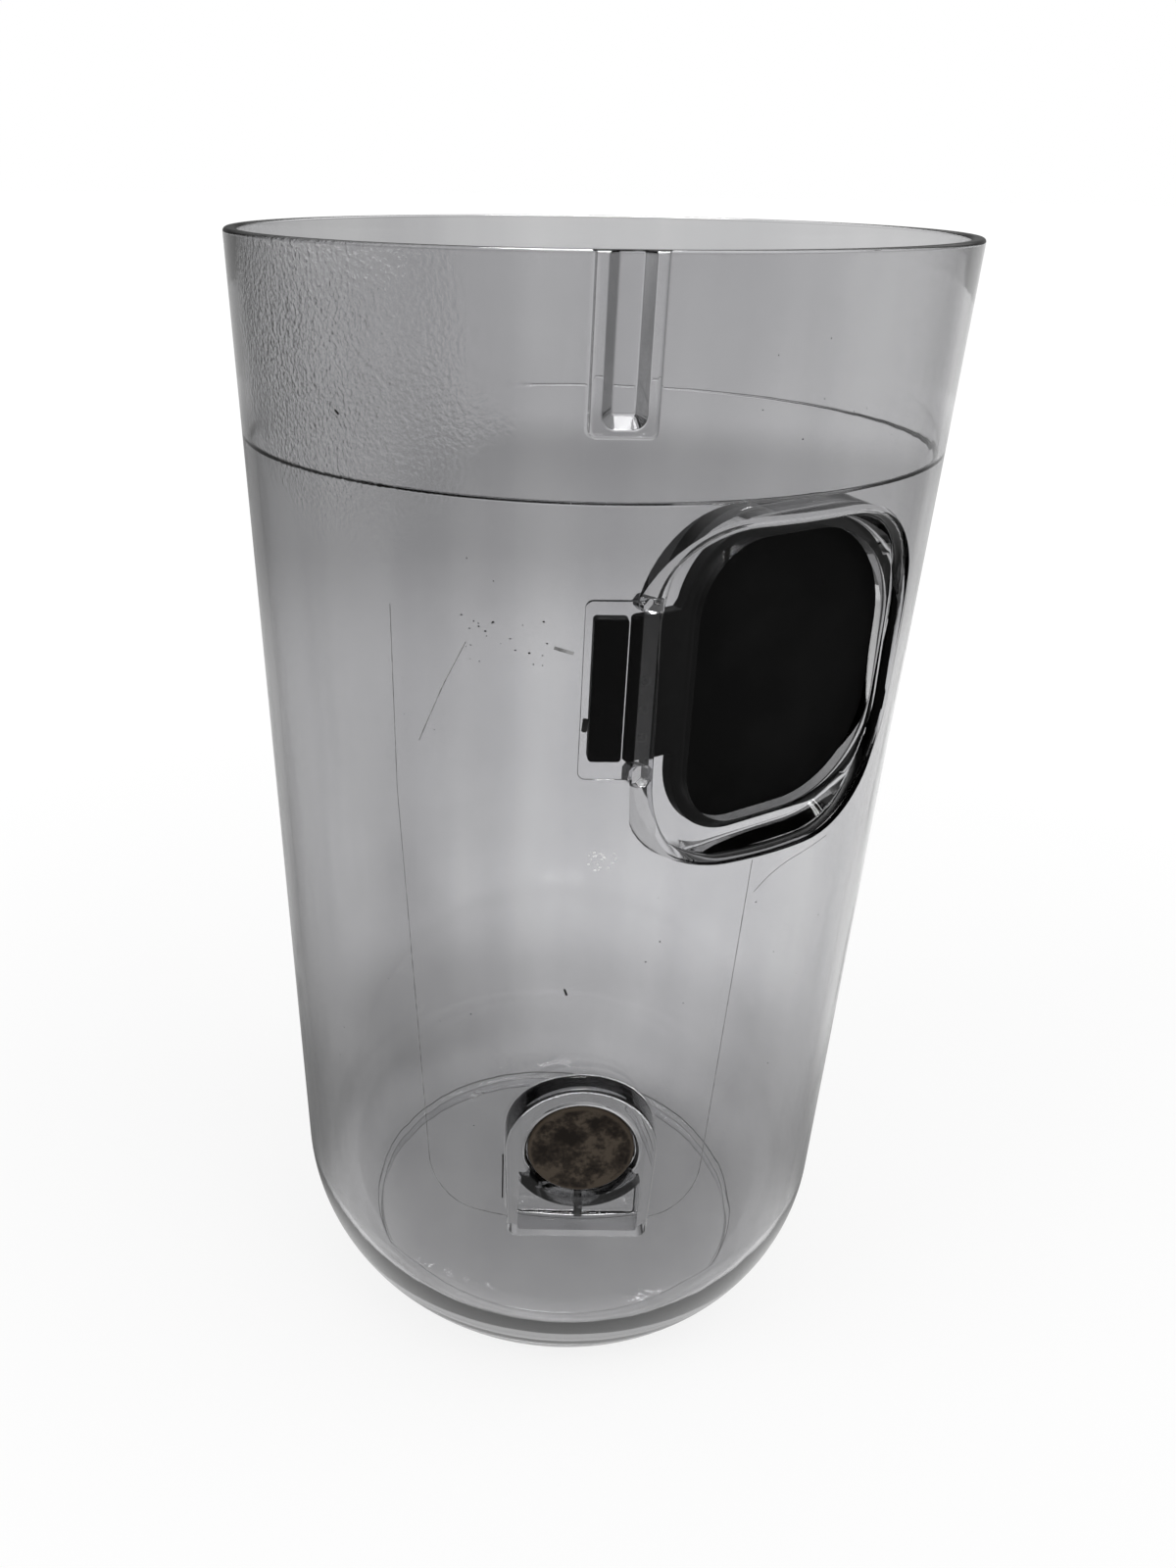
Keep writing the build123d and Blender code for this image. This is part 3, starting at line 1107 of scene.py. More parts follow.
@dataclass(frozen=True)
class MagnetBoss:
    """Arched boss on the front line: a cup for the magnet over a pocketed foot."""

    wall: Wall
    facing: Facing
    centre_z: float = 57.2
    radius: float = 10.65
    arch_steps: int = 64
    foot_z: float = 41.0
    foot_w: float = 20.2
    face: float = 50.32
    edge_round: float = 0.55
    foot_round: float = 0.4
    corner: float = 1.5
    corner_steps: int = 8
    side_wall: float = 1.5
    cup_r: float = 7.6
    cup_deep: float = 2.8
    cup_wall: float = 2.6
    cup_lead: float = 1.0
    cup_steps: int = 8
    past_cup: float = 0.6
    pocket_floor: float = 46.66
    pocket_round: float = 0.35
    pocket_round_steps: int = 3
    pocket_corner: float = 0.5
    pocket_corner_steps: int = 4
    pocket_arc_steps: int = 16
    past_pocket: float = 0.5
    rib_w: float = 1.2
    rib_drop: float = 1.9
    rib_corner: float = 0.25

    def block(self) -> Piece:
        """Returns the arched boss as a solid that ends inside the wall."""
        half = self.foot_w / 2
        corners = [
            (-self.radius, self.centre_z, 0.0),
            (-half, self.foot_z, self.corner),
            (half, self.foot_z, self.corner),
            (self.radius, self.centre_z, 0.0),
        ]
        points = round_corners(corners, closed=False, steps=self.corner_steps)
        points += arc((0, self.centre_z), self.radius, 0, 180, self.arch_steps)[1:-1]
        rounds = (self.foot_round, self.edge_round)
        return self.wall.raised("boss_block", Outline(points), self.facing, self.face, *rounds)

    def cup(self) -> Piece:
        """Returns the tool that cuts the cup and its lead."""
        rows = [(self.cup_r, self.face - self.cup_deep)]
        for drop, grow in quarter_round(self.cup_lead, self.cup_steps):
            rows.append((self.cup_r + grow, self.face - drop))
        rows.append((self.cup_r + self.cup_lead, self.face + self.past_cup))
        centre = (0, self.centre_z)
        rings = [self.facing.ring(Outline.circle(centre, radius).points, out) for radius, out in rows]
        return loft("boss_cup", rings)

    def pocket(self) -> Piece:
        """Returns the tool that cuts the pocket under the cup, round its rib."""
        side = self.foot_w / 2 - self.side_wall
        reach = self.cup_r + self.cup_wall
        rib = self.rib_w / 2
        foot_z = self.foot_z + self.side_wall
        side_deg = math.degrees(math.asin(side / reach))
        rib_deg = math.degrees(math.asin(rib / reach))
        rib_z = self.centre_z - reach - self.rib_drop
        centre = (0.0, self.centre_z)
        right = arc(centre, reach, side_deg - 90, rib_deg - 90, self.pocket_arc_steps)
        left = arc(centre, reach, -rib_deg - 90, -side_deg - 90, self.pocket_arc_steps)
        corners = [
            (-side, foot_z, self.pocket_corner),
            (side, foot_z, self.pocket_corner),
            *[(*point, 0.0) for point in right],
            (rib, rib_z, self.rib_corner),
            (-rib, rib_z, self.rib_corner),
            *[(*point, 0.0) for point in left],
        ]
        return rounded_prism(
            "boss_pocket",
            Outline(round_corners(corners, closed=True, steps=self.pocket_corner_steps)),
            self.facing,
            self.pocket_floor,
            self.face + self.past_pocket,
            self.pocket_round,
            0,
            self.pocket_round_steps,
        )


@dataclass(frozen=True)
class ClearBin:
    """The whole clear moulding."""

    wall: Wall = Wall()
    front: Facing = Facing(-31.75)

    def build(self, finish: Finish) -> Piece:
        """Joins the wall and its details and returns the bin."""
        port = InletPort(self.wall)
        boss = MagnetBoss(self.wall, self.front)
        made = self.wall.build(finish)
        added = [port.block(), StrapPad().build(), *port.cheeks()]
        rib = LatchRib(self.wall, self.front)
        added += [rib.block(), boss.block()]
        for tool in added:
            carve(made, tool, Carve.JOIN)
        for tool in (port.bore(), port.opening(), rib.slot(), boss.cup(), boss.pocket()):
            carve(made, tool, Carve.CUT)
        smooth(made)
        self.wall.true_up(made)
        dress(made, finish)
        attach(made, Body.BIN.value)
        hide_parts("bin_body")
        return made


# Rubber and metal pieces


@dataclass(frozen=True)
class RubberFlap:
    """Door behind the port, with its neck, its knuckle and three moulded pips."""

    facing: Facing = Facing(0.0)
    outer: float = 41.15
    thick: float = 2.0
    door_x: float = 2.4
    door_z: float = 123.1
    door_w: float = 35.2
    door_h: float = 41.0
    corner: float = 11.0
    edge_round: float = 0.35
    hinge_x: float = -20.6
    hinge_z: float = 125.1
    neck_h: float = 18.8
    neck_ease: float = 0.4
    neck_step: float = 0.3
    corner_steps: int = 20
    join_steps: int = 18
    knuckle_soft: float = 0.25
    knuckle_steps: int = 40
    pip_r: float = 0.6
    pip_h: float = 0.25
    pip_pitch: float = 3.7
    pip_drop: float = 2.5
    pip_level: int = 3

    def outline(self) -> Outline:
        """Returns the outline of the door and its neck."""
        left, right = self.door_x - self.door_w / 2, self.door_x + self.door_w / 2
        low, high = self.door_z - self.door_h / 2, self.door_z + self.door_h / 2
        neck_low, neck_high = self.hinge_z - self.neck_h / 2, self.hinge_z + self.neck_h / 2
        inset = self.corner
        join_deg = 180 - math.degrees(math.asin((neck_high - high + inset) / self.corner))
        ease = self.neck_ease
        points = [(self.hinge_x, neck_low), (left - ease, neck_low), (left, neck_low - ease)]
        centres = ((left + inset, low + inset), (right - inset, low + inset), (right - inset, high - inset))
        for centre, start_deg in zip(centres, (180, 270, 0)):
            points += arc(centre, self.corner, start_deg, start_deg + 90, self.corner_steps)
        points += arc((left + inset, high - inset), self.corner, 90, join_deg, self.join_steps)[:-1]
        points += [(left - self.neck_step, neck_high), (self.hinge_x, neck_high)]
        return Outline(points)

    def knuckle(self) -> Piece:
        """Returns the round end of the neck, on the hinge axis."""
        radius, middle = self.thick / 2, self.outer - self.thick / 2
        low, high = self.hinge_z - self.neck_h / 2, self.hinge_z + self.neck_h / 2
        soft = self.knuckle_soft
        rows = [(radius - soft, low), (radius, low + soft), (radius, high - soft), (radius - soft, high)]
        rings = []
        for reach, z in rows:
            ring = arc((self.hinge_x, middle), reach, 0, 360, self.knuckle_steps)[:-1]
            rings.append([self.facing.at(x, z, out) for x, out in ring])
        return loft("flap_knuckle", rings)

    def pips(self, finish: Finish) -> Piece:
        """Returns the three pips on the neck, as flat domes in a row."""
        x = self.hinge_x + self.thick / 2
        heights = [self.hinge_z - self.pip_drop + self.pip_pitch * step for step in (-1, 0, 1)]
        made = plain_object("flap_pips", [self.facing.at(x, z, self.outer) for z in heights])
        recipe = GeometryRecipe("pips_in_a_row")
        radius = recipe.size("Pip Radius", Socket.LENGTH, self.pip_r * MM)
        dome = recipe.node("GeometryNodeMeshIcoSphere", Radius=radius, Subdivisions=self.pip_level)
        flat = (1.0, self.pip_h / self.pip_r, 1.0)
        row = recipe.node(
            "GeometryNodeInstanceOnPoints",
            Points=recipe.source.outputs[0],
            Instance=dome.outputs[0],
            Scale=flat,
        )
        recipe.run(made, row, finish)
        return made

    def build(self, finish: Finish) -> Piece:
        """Returns the flap."""
        inner = self.outer - self.thick
        made = rounded_prism(
            "rubber_flap", self.outline(), self.facing, inner, self.outer, self.edge_round, self.edge_round
        )
        carve(made, self.knuckle(), Carve.JOIN)
        carve(made, self.pips(finish), Carve.JOIN)
        smooth(made)
        dress(made, finish)
        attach(made, Body.FLAP.value)
        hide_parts("inlet_flap")
        return made


@dataclass(frozen=True)
class HingeStrap:
    """Rubber strip that holds the flap, seated on the pad."""

    facing: Facing = Facing(-30.6)
    outer: float = 46.27
    thick: float = 2.0
    left: float = -2.54
    width: float = 4.0
    middle_z: float = 125.1
    height: float = 18.4
    corner: float = 0.5
    edge_round: float = 0.4
    seat_round: float = 0.15

    def build(self, finish: Finish) -> Piece:
        """Returns the strap."""
        centre = (self.left + self.width / 2, self.middle_z)
        outline = Outline.box(centre, self.width, self.height, self.corner)
        inner = self.outer - self.thick
        made = rounded_prism(
            "hinge_strap", outline, self.facing, inner, self.outer, self.edge_round, self.seat_round
        )
        smooth(made)
        dress(made, finish)
        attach(made, Body.BIN.value)
        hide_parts("flap_hinge_strap")
        return made


@dataclass(frozen=True)
class DiscMagnet:
    """Disc magnet in the cup of the boss."""

    facing: Facing = Facing(-31.75)
    middle_z: float = 57.2
    radius: float = 7.5
    outer: float = 50.02
    thick: float = 2.45
    edge_round: float = 0.4

    def build(self, finish: Finish) -> Piece:
        """Returns the magnet."""
        outline = Outline.circle((0, self.middle_z), self.radius)
        inner = self.outer - self.thick
        made = rounded_prism(
            "disc_magnet", outline, self.facing, inner, self.outer, self.edge_round, self.edge_round
        )
        smooth(made)
        dress(made, finish)
        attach(made, Body.BIN.value)
        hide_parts("magnet_disc")
        return made


# Marks on the wall


TUBE_SIDES = 6


def lay_tube(
    name: str, places: Sequence[Vector], radius: float, finish: Finish, closed: bool = False
) -> Piece:
    """Makes a thin tube that rides on the bin.

    Args:
        name: Name of the piece.
        places: Places that it follows, in metres.
        radius: Its radius.
        finish: Its material.
        closed: Whether its end joins its start.

    Returns:
        The tube.
    """
    count = len(places)
    spans = count if closed else count - 1
    made = plain_object(name, places, [(i, (i + 1) % count) for i in range(spans)])
    recipe = GeometryRecipe(name + "_along_path")
    reach = recipe.size("Line Radius", Socket.LENGTH, radius * MM)
    line = recipe.node("GeometryNodeMeshToCurve", Mesh=recipe.source.outputs[0])
    ring = recipe.node("GeometryNodeCurvePrimitiveCircle", Resolution=TUBE_SIDES, Radius=reach)
    tube = recipe.node(
        "GeometryNodeCurveToMesh", Curve=line.outputs[0], Profile_Curve=ring.outputs[0], Fill_Caps=True
    )
    recipe.run(made, tube, finish)
    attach(made, Body.BIN.value)
    return made


@dataclass(frozen=True)
class WallLine:
    """Thin line on the outer wall, as corners of (angle, height, radius)."""

    name: str
    corners: tuple[Triple, ...]
    radius: float
    lift: float = 0.01
    longest: float = 1.0
    corner_steps: int = 10

    def build(self, wall: Wall, finish: Finish) -> Piece:
        """Lays the line on the wall and returns it."""
        scale = math.radians(wall.rim_r)
        corners = [(angle * scale, z, round_r) for angle, z, round_r in self.corners]
        path = round_corners(corners, closed=False, steps=self.corner_steps)
        steps: list[Flat] = []
        for (s, z), (next_s, next_z) in zip(path, path[1:]):
            spans = max(1, math.ceil(math.hypot(next_s - s, next_z - z) / self.longest))
            shares = [span / spans for span in range(spans)]
            steps += [(s + (next_s - s) * share, z + (next_z - z) * share) for share in shares]
        steps.append(path[-1])
        places = [Facing(s / scale).at(0, z, wall.outer_radius(z) + self.lift) for s, z in steps]
        return lay_tube(self.name, places, self.radius, finish)


@dataclass(frozen=True)
class CreaseShade:
    """Thin dark ring all round a crease inside the bin: painted shade of the crease."""

    name: str
    out: float
    height: float
    radius: float
    steps: int = 180

    def build(self, finish: Finish) -> Piece:
        """Lays the ring of painted shade and returns it."""
        turns = [360 * step / self.steps for step in range(self.steps)]
        places = [Facing(turn).at(0, self.height, self.out) for turn in turns]
        return lay_tube(self.name, places, self.radius, finish, closed=True)


@dataclass(frozen=True)
class DustPatch:
    """Fine grains scattered on a stretch of the outer wall.

    Attributes:
        name: Name of the piece.
        angles: Angles between which it lies.
        heights: Heights between which it lies.
        density: Grains in a square millimetre.
        grain: Radius of a middling grain.
        seed: Seed of the scatter.
        columns: Columns of the sheet that the grains are scattered on.
        rows: Its rows.
        least: Smallest grain along each axis, as a share of a middling one.
        most: Largest grain along each axis.
        level: Fineness of a grain's mesh.
    """

    name: str
    angles: Flat
    heights: Flat
    density: float
    grain: float
    seed: int
    columns: int = 12
    rows: int = 4
    least: Triple = (0.4, 0.4, 0.15)
    most: Triple = (1.5, 1.1, 0.3)
    level: int = 2

    def sheet(self, wall: Wall) -> Piece:
        """Returns a sheet that follows the stretch of wall."""
        columns, rows = self.columns, self.rows
        places = []
        for row in range(rows + 1):
            z = self.heights[0] + (self.heights[1] - self.heights[0]) * row / rows
            for column in range(columns + 1):
                angle = self.angles[0] + (self.angles[1] - self.angles[0]) * column / columns
                places.append(Facing(angle).at(0, z, wall.outer_radius(z)))
        wide = columns + 1
        starts = [row * wide + column for row in range(rows) for column in range(columns)]
        return plain_object(self.name, places, faces=[(s, s + 1, s + 1 + wide, s + wide) for s in starts])

    def build(self, wall: Wall, finish: Finish) -> Piece:
        """Scatters the grains and returns them."""
        made = self.sheet(wall)
        recipe = GeometryRecipe(self.name + "_scatter")
        density = recipe.size("Grains per Square Metre", Socket.LENGTH, self.density / MM**2)
        seed = recipe.size("Seed", Socket.COUNT, self.seed)
        radius = recipe.size("Grain Radius", Socket.LENGTH, self.grain * MM)
        points = recipe.node(
            "GeometryNodeDistributePointsOnFaces", Mesh=recipe.source.outputs[0], Density=density, Seed=seed
        )
        grain = recipe.node("GeometryNodeMeshIcoSphere", Radius=radius, Subdivisions=self.level)
        sizes = recipe.node("FunctionNodeRandomValue", Seed=seed)
        sizes.data_type = "FLOAT_VECTOR"
        sizes.inputs[0].default_value = self.least
        sizes.inputs[1].default_value = self.most
        scattered = recipe.node(
            "GeometryNodeInstanceOnPoints",
            Points=points.outputs["Points"],
            Instance=grain.outputs[0],
            Rotation=points.outputs["Rotation"],
            Scale=sizes.outputs[0],
        )
        recipe.run(made, scattered, finish)
        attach(made, Body.BIN.value)
        return made


# Studio


@dataclass(frozen=True)
class Window:
    """Small bright window that only gloss shows.

    Attributes:
        toward: Direction that it is seen in from the bin.
        span: Cosines of its outer and inner edge.
        strength: Its brightness.
    """

    toward: Triple
    span: Flat
    strength: float


@dataclass(frozen=True)
class Lamp:
    """Soft lamp that lights the part and is not seen in it, with its place and size in metres."""

    name: str
    place: Triple
    size: float
    power: float
    aim: Triple = (0.0, 0.0, 0.09)

    def build(self) -> None:
        """Adds the lamp and turns it to what it lights."""
        data = bpy.data.lights.new(self.name, "AREA")
        data.size = self.size
        data.energy = self.power
        made = bpy.data.objects.new(self.name, data)
        turn = (Vector(self.aim) - Vector(self.place)).to_track_quat("-Z", "Y")
        made.matrix_world = Matrix.Translation(self.place) @ turn.to_matrix().to_4x4()
        made.visible_camera = False
        made.visible_glossy = False
        made.visible_transmission = False
        bpy.context.scene.collection.objects.link(made)


@dataclass(frozen=True)
class Studio:
    """Pale floor, surroundings white to the camera, soft lamps and the camera; reflections and rays through
    the plastic see painted light and shade in the floor and surroundings.
    """

    camera_at: Triple = (-111.2, -153.0, 181.5)
    ahead: Triple = (0.4704, 0.7667, -0.4370)
    right: Triple = (0.8524, -0.5229, 0.0)
    roll_deg: float = 0.66
    lens: float = 29.25
    sensor: float = 36.0
    shift_x: float = 0.068
    clip_start: float = 5.0
    lamps: tuple[Lamp, ...] = (
        Lamp("key_lamp", (0.55, -0.75, 0.95), 1.3, 7.0),
        Lamp("side_lamp", (-0.95, 0.1, 0.6), 0.6, 4.0),
    )
    floor_r: float = 9.0
    floor_sides: int = 96
    floor_drop: float = 0.05
    paper: float = 0.82
    white: float = 1.05
    ambient: float = 0.62
    shadow: float = 0.22
    shadow_fade: Flat = (0.1, 0.5)
    # Painted light of the surroundings in gloss on the camera's side: dim near the horizon, lighter overhead.
    side_gloss: float = 0.05
    roof_gloss: float = 0.5
    roof_fade: Flat = (0.35, 0.9)
    window: Window = Window((0.196, 0.32, 0.927), (0.975, 0.985), 26.0)
    front_fade: Flat = (85.0, 120.0)
    # Painted shade: share by which gloss sees the surroundings dimmed near the horizon.
    side_dim: float = 0.8
    dim_fade: Flat = (0.15, 0.4)
    # Painted reflection of the floor in gloss on the camera's side, by distance in metres: bright just round
    # the bin, dim further off.
    gloss_levels: tuple[Flat, ...] = ((0.0, 1.0), (0.045, 0.95), (0.09, 0.3), (0.2, 0.05), (1.0, 0.03))
    behind: float = 1.15
    floor_fade: Flat = (0.03, 0.055)
    # Painted shade of the floor through the plastic, by distance in metres: a painted shadow under the bin, a
    # bright ring round it, dimmer further off.
    floor_levels: tuple[Flat, ...] = (
        (0.0, 0.3),
        (0.032, 0.31),
        (0.05, 0.66),
        (0.075, 0.72),
        (0.11, 0.98),
        (0.26, 0.94),
        (0.5, 0.6),
        (0.8, 0.53),
        (1.0, 0.72),
    )
    # Painted light of the surroundings for reflections and rays through the plastic, by height: lightest at
    # the horizon, darkest overhead.
    sky_levels: tuple[Flat, ...] = (
        (0.0, 0.72),
        (0.25, 0.5),
        (0.45, 0.5),
        (0.65, 0.55),
        (0.85, 0.4),
        (1.0, 0.2),
    )
    # Painted light by bearing in degrees, near the bin and far off: dark to the left, lightest a little to
    # the right.
    far_fade: Flat = (0.3, 0.6)
    near_bearing: tuple[Flat, ...] = (
        (-180.0, 0.7),
        (-110.0, 0.6),
        (-75.0, 0.26),
        (-58.0, 0.28),
        (-40.0, 0.42),
        (-20.0, 0.58),
        (-8.0, 0.73),
        (4.0, 0.9),
        (26.0, 1.0),
        (60.0, 0.66),
        (85.0, 0.4),
        (120.0, 0.6),
        (180.0, 0.7),
    )
    far_bearing: tuple[Flat, ...] = (
        (-180.0, 0.75),
        (-110.0, 0.6),
        (-75.0, 0.32),
        (-50.0, 0.24),
        (-34.0, 0.42),
        (-20.0, 0.6),
        (-8.0, 0.73),
        (4.0, 0.9),
        (26.0, 1.0),
        (42.0, 0.9),
        (62.0, 0.4),
        (85.0, 0.45),
        (120.0, 0.65),
        (180.0, 0.75),
    )

    def camera(self) -> None:
        """Places the camera as the photograph was taken."""
        ahead = Vector(self.ahead).normalized()
        level = Vector(self.right).normalized()
        up = level.cross(ahead)
        roll = math.radians(self.roll_deg)
        right = level * math.cos(roll) + up * math.sin(roll)
        up = up * math.cos(roll) - level * math.sin(roll)
        data = bpy.data.cameras.new("camera")
        data.lens = self.lens
        data.sensor_width = self.sensor
        data.shift_x = self.shift_x
        data.clip_start = self.clip_start * MM
        made = bpy.data.objects.new("camera", data)
        turn = Matrix((right, up, -ahead)).transposed()
        made.matrix_world = Matrix.Translation(Vector(self.camera_at) * MM) @ turn.to_4x4()
        bpy.context.scene.collection.objects.link(made)
        bpy.context.scene.camera = made

    def angle(self, graph: ShaderGraph) -> Signal:
        """Returns the bearing round the bin in radians, 0 straight beyond it."""
        ahead = Vector((self.ahead[0], self.ahead[1], 0)).normalized()
        sideways = graph.dot(graph.place, Vector(self.right))
        return graph.math("ARCTAN2", sideways, graph.dot(graph.place, ahead))

    def bearing(self, graph: ShaderGraph, levels: Sequence[Flat]) -> Signal:
        """Returns a level by bearing round the bin, from levels by degrees."""
        share = graph.math("MULTIPLY_ADD", self.angle(graph), 0.5 / math.pi, 0.5)
        return graph.levels(share, [(turn / 360 + 0.5, level) for turn, level in levels])

    @staticmethod
    def mirrored(graph: ShaderGraph) -> Signal:
        """Returns 1 for a ray that gloss has mirrored and 0 for one straight through the plastic."""
        return graph.math("GREATER_THAN", graph.rays()["Glossy Depth"], 0.5)

    def in_front(self, graph: ShaderGraph) -> Signal:
        """Returns 1 on the camera's side of the bin and 0 beyond it."""
        turn = graph.math("ABSOLUTE", self.angle(graph))
        start, end = (math.radians(edge) for edge in self.front_fade)
        return graph.span(turn, start, end)

    def floor(self) -> None:
        """Lays the floor: white to the camera with the bin's shadow, and painted light and shade through the
        plastic and in gloss: a painted shadow under the bin, lighter to the right, and dim in gloss further
        off.
        """
        work = bmesh.new()
        bmesh.ops.create_circle(work, cap_ends=True, segments=self.floor_sides, radius=self.floor_r)
        bmesh.ops.translate(work, verts=work.verts, vec=(0, 0, -self.floor_drop * MM))
        mesh = bpy.data.meshes.new("floor")
        work.to_mesh(mesh)
        work.free()
        made = add_object("floor", mesh)
        graph = ShaderGraph.named("floor_paper")
        distance = graph.vector("LENGTH", graph.place)
        level = graph.levels(distance, self.floor_levels)
        far = graph.span(distance, *self.floor_fade)
        nearby, beyond = self.bearing(graph, self.near_bearing), self.bearing(graph, self.far_bearing)
        turned = graph.tint(graph.span(distance, *self.far_fade), nearby, beyond)
        level = graph.tint(far, level, graph.times(level, turned))
        paper = graph.shader("ShaderNodeBsdfDiffuse", Color=grey(self.paper))
        white = graph.shader("ShaderNodeEmission", Color=grey(1.0), Strength=self.white)
        seen = graph.blend(graph.span(distance, *self.shadow_fade, self.shadow, 0.0), white, paper)
        sheen = graph.levels(distance, self.gloss_levels)
        front = graph.math("MULTIPLY", self.in_front(graph), self.mirrored(graph))
        level = graph.tint(graph.math("MULTIPLY", front, far), level, sheen)
        # The floor glows with its painted light and shade for reflections and rays through the plastic.
        through = graph.shader("ShaderNodeEmission", Color=level, Strength=self.behind)
        self.by_ray(graph, paper, seen, through)
        made.data.materials.append(graph.owner)

    @staticmethod
    def by_ray(graph: ShaderGraph, plain: Signal, seen: Signal, through: Signal) -> None:
        """Shows one shader for each kind of ray.

        Args:
            graph: Graph of the floor or the world.
            plain: Shader for rays that light matt surfaces.
            seen: Shader for the camera.
            through: Shader for reflections and for rays through the plastic.
        """
        rays = graph.rays()
        clear = graph.math("MAXIMUM", rays["Is Glossy Ray"], rays["Is Transmission Ray"])
        mixed = graph.blend(clear, plain, through)
        graph.show(graph.blend(rays["Is Camera Ray"], mixed, seen))

    def world(self) -> None:
        """Surrounds the part with soft light, white to the camera; reflections and rays through the plastic
        see painted light and shade instead, by height and bearing, dim in front in gloss, with the bright
        window.
        """
        world = bpy.data.worlds.new("surroundings")
        bpy.context.scene.world = world
        graph = ShaderGraph(world)
        rise = graph.dot(graph.place, Vector((0, 0, 1)))
        plain = graph.shader("ShaderNodeBackground", Color=grey(self.ambient), Strength=1.0)
        seen = graph.shader("ShaderNodeBackground", Color=grey(1.0), Strength=1.0)
        level = graph.times(graph.levels(rise, self.sky_levels), self.bearing(graph, self.far_bearing))
        front = graph.span(rise, *self.roof_fade, self.side_gloss, self.roof_gloss)
        mirrored = self.mirrored(graph)
        level = graph.tint(graph.math("MULTIPLY", self.in_front(graph), mirrored), level, front)
        dim = graph.span(rise, *self.dim_fade, self.side_dim, 0.0)
        level = graph.times(level, graph.math("SUBTRACT", 1.0, graph.math("MULTIPLY", mirrored, dim)))
        from_gloss = graph.math("LESS_THAN", graph.rays()["Diffuse Depth"], 0.5)
        from_gloss = graph.math("MULTIPLY", from_gloss, mirrored)
        facing = graph.dot(graph.place, Vector(self.window.toward).normalized())
        bright = graph.span(facing, *self.window.span, 0.0, self.window.strength)
        level = graph.vector("ADD", level, graph.math("MULTIPLY", bright, from_gloss))
        # Painted surroundings for reflections and rays through the plastic.
        through = graph.shader("ShaderNodeBackground", Color=level, Strength=self.behind)
        self.by_ray(graph, plain, seen, through)

    def build(self) -> None:
        """Sets up the whole studio."""
        bpy.context.scene.view_settings.view_transform = "Standard"
        self.floor()
        self.world()
        for lamp in self.lamps:
            lamp.build()
        self.camera()


# The grey seam finish also paints the shade of the seat crease; the near-black dirt finish also paints the
# shade of the floor crease and of the boss's edge line.
SEAM_AND_SHADE = PlainMark("parting_seam_and_shade", grey(0.1), grey(0.32))
DIRT_AND_SHADE = PlainMark("dirt_and_shade", grey(0.012), grey(0.03))
CHALK = PlainMark("chalk", grey(0.7), grey(0.9))
PARTING_LINE = WallLine(
    "parting_line",
    ((-63.7, 134.0, 0.0), (-63.7, 109.0, 20.0), (-59.2, 40.0, 8.0), (-8.5, 40.0, 8.0), (-6.0, 100.4, 0.0)),
    radius=0.05,
)
LONG_SCRATCH = WallLine(
    "long_scratch", ((-51.7, 130.8, 0.0), (-55.3, 124.7, 6.0), (-59.4, 116.7, 0.0)), radius=0.06
)
DARK_DASH = WallLine("dark_dash", ((-39.2, 131.1, 0.0), (-36.5, 130.5, 0.0)), radius=0.2)
# Short dark line of painted shade beside the boss's left edge.
BOSS_EDGE_SHADE = WallLine("boss_edge_shade", ((-45.2, 52.0, 0.0), (-45.2, 43.5, 0.0)), radius=0.11)
PAD_FLECK = WallLine("pad_fleck", ((-34.4, 122.2, 0.0), (-34.55, 120.6, 0.0)), radius=0.36)
LOW_FLECK = WallLine("low_fleck", ((-35.6, 82.5, 0.0), (-35.2, 81.6, 0.0)), radius=0.17)
HIGH_FLECK = WallLine("high_fleck", ((-72.0, 155.9, 0.0), (-71.4, 155.5, 0.0)), radius=0.14)
# The dirt flecks, and the boss's line of painted shade.
FLECKS_AND_SHADE = (BOSS_EDGE_SHADE, PAD_FLECK, LOW_FLECK, HIGH_FLECK)
RIGHT_SCRATCH = WallLine(
    "right_scratch", ((-4.8, 95.2, 0.0), (-1.0, 98.2, 12.0), (10.7, 100.0, 0.0)), radius=0.035
)
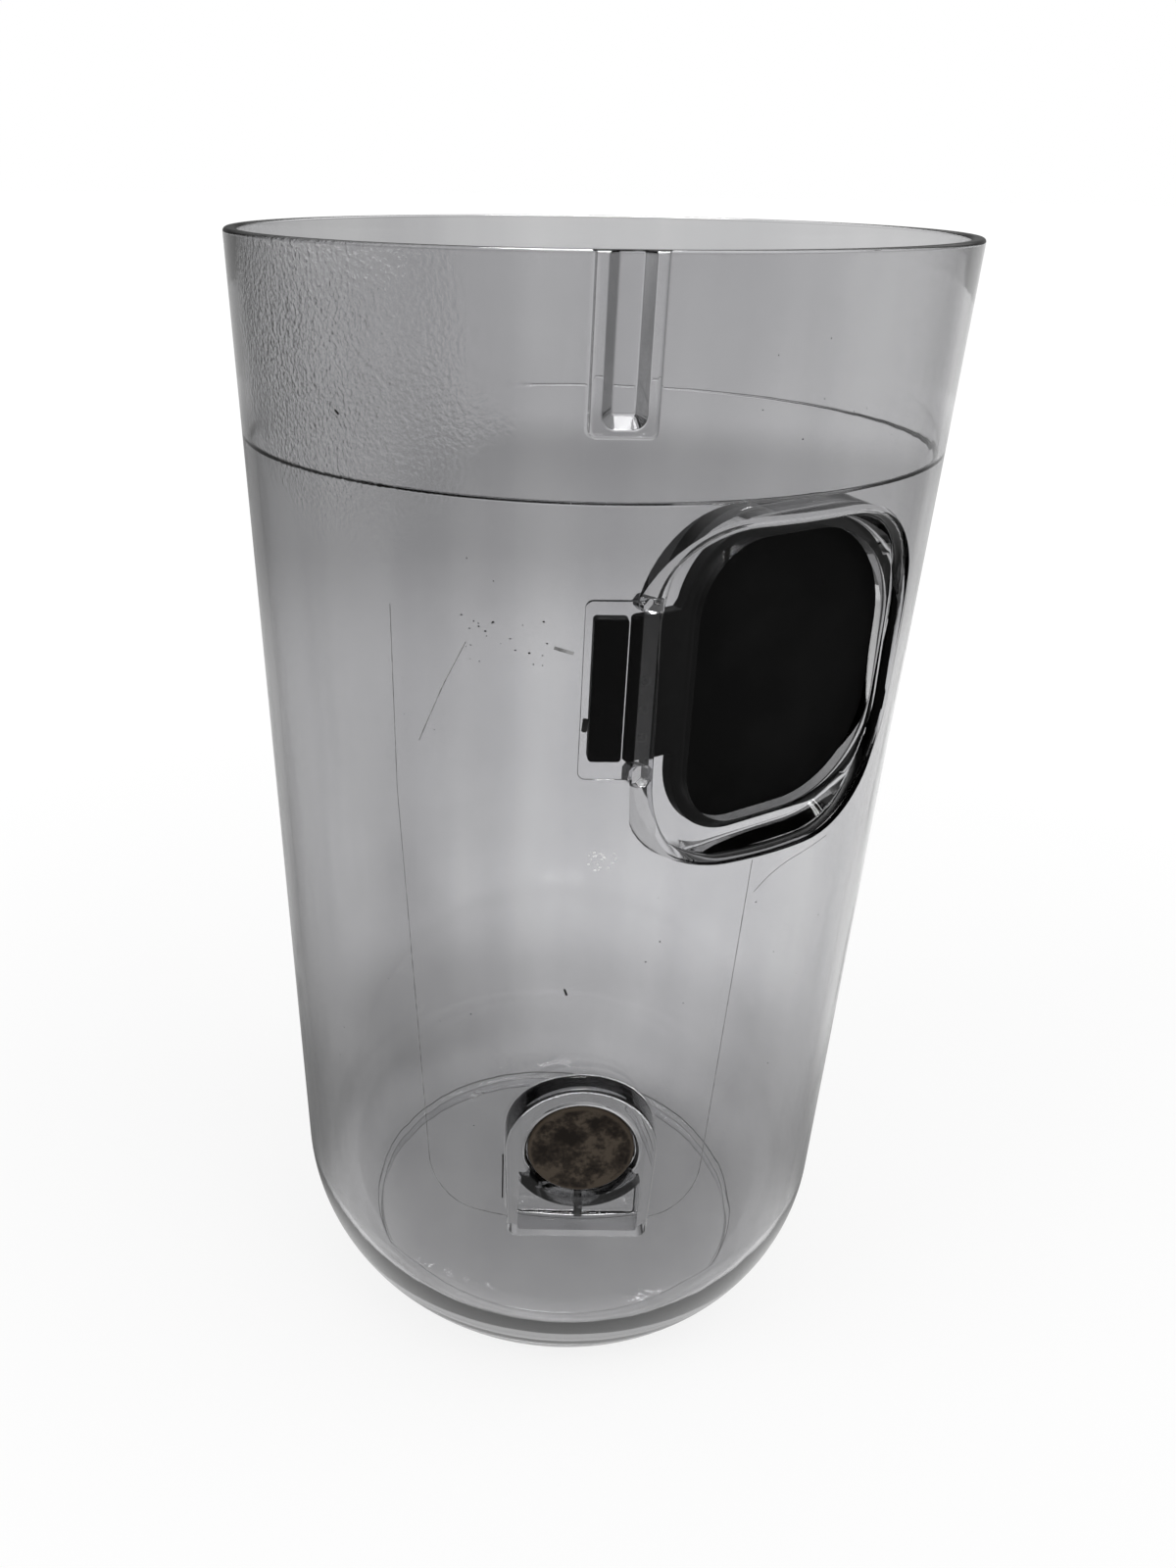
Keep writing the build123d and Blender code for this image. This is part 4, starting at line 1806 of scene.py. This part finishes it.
# Dark rings of painted shade in the crease round the floor and in the crease of the lid seat.
FLOOR_CREASE_SHADE = CreaseShade("floor_crease_shade", 33.72, 4.6, 0.07)
SEAT_CREASE_SHADE = CreaseShade("seat_crease_shade", 48.0, 148.1, 0.06)
DUST = (
    DustPatch("dust_cluster", (-52.5, -40.0), (128.5, 134.5), 0.3, 0.12, 3),
    DustPatch("dust_left", (-84.0, -47.0), (46.0, 167.0), 0.006, 0.1, 11),
    DustPatch("dust_low", (-24.0, 14.0), (62.0, 97.0), 0.008, 0.1, 5),
    DustPatch("dust_high", (-24.0, 20.0), (150.0, 168.0), 0.008, 0.09, 8),
)
SCUFF = DustPatch("scuff_specks", (-33.0, -28.6), (100.8, 104.0), 1.8, 0.15, 2)


def main() -> None:
    """Builds every piece and the studio around them."""
    logging.basicConfig(level=logging.INFO, format="%(name)s: %(message)s")
    plastic = ClearPlastic().make()
    rubber = BlackRubber().make()
    bin_form = ClearBin()
    magnet_form = DiscMagnet()
    tarnish = TarnishedMetal(magnet_form.facing, magnet_form.middle_z, magnet_form.outer, magnet_form.radius)
    seam_and_shade, dirt_and_shade, chalk = SEAM_AND_SHADE.make(), DIRT_AND_SHADE.make(), CHALK.make()
    pieces = [
        bin_form.build(plastic),
        RubberFlap().build(rubber),
        HingeStrap().build(rubber),
        magnet_form.build(tarnish.make()),
        PARTING_LINE.build(bin_form.wall, seam_and_shade),
        LONG_SCRATCH.build(bin_form.wall, seam_and_shade),
        RIGHT_SCRATCH.build(bin_form.wall, seam_and_shade),
        # Rings of painted shade in the floor and seat creases.
        FLOOR_CREASE_SHADE.build(dirt_and_shade),
        SEAT_CREASE_SHADE.build(seam_and_shade),
        DARK_DASH.build(bin_form.wall, seam_and_shade),
    ]
    # Flecks and dust of dirt, and the dark line of painted shade at the boss's edge.
    pieces += [mark.build(bin_form.wall, dirt_and_shade) for mark in (*FLECKS_AND_SHADE, *DUST)]
    pieces.append(SCUFF.build(bin_form.wall, chalk))
    for piece in pieces:
        LOG.info("%s: %d faces", piece.name, len(piece.data.polygons))
    Studio().build()


if __name__ == "__main__":
    main()
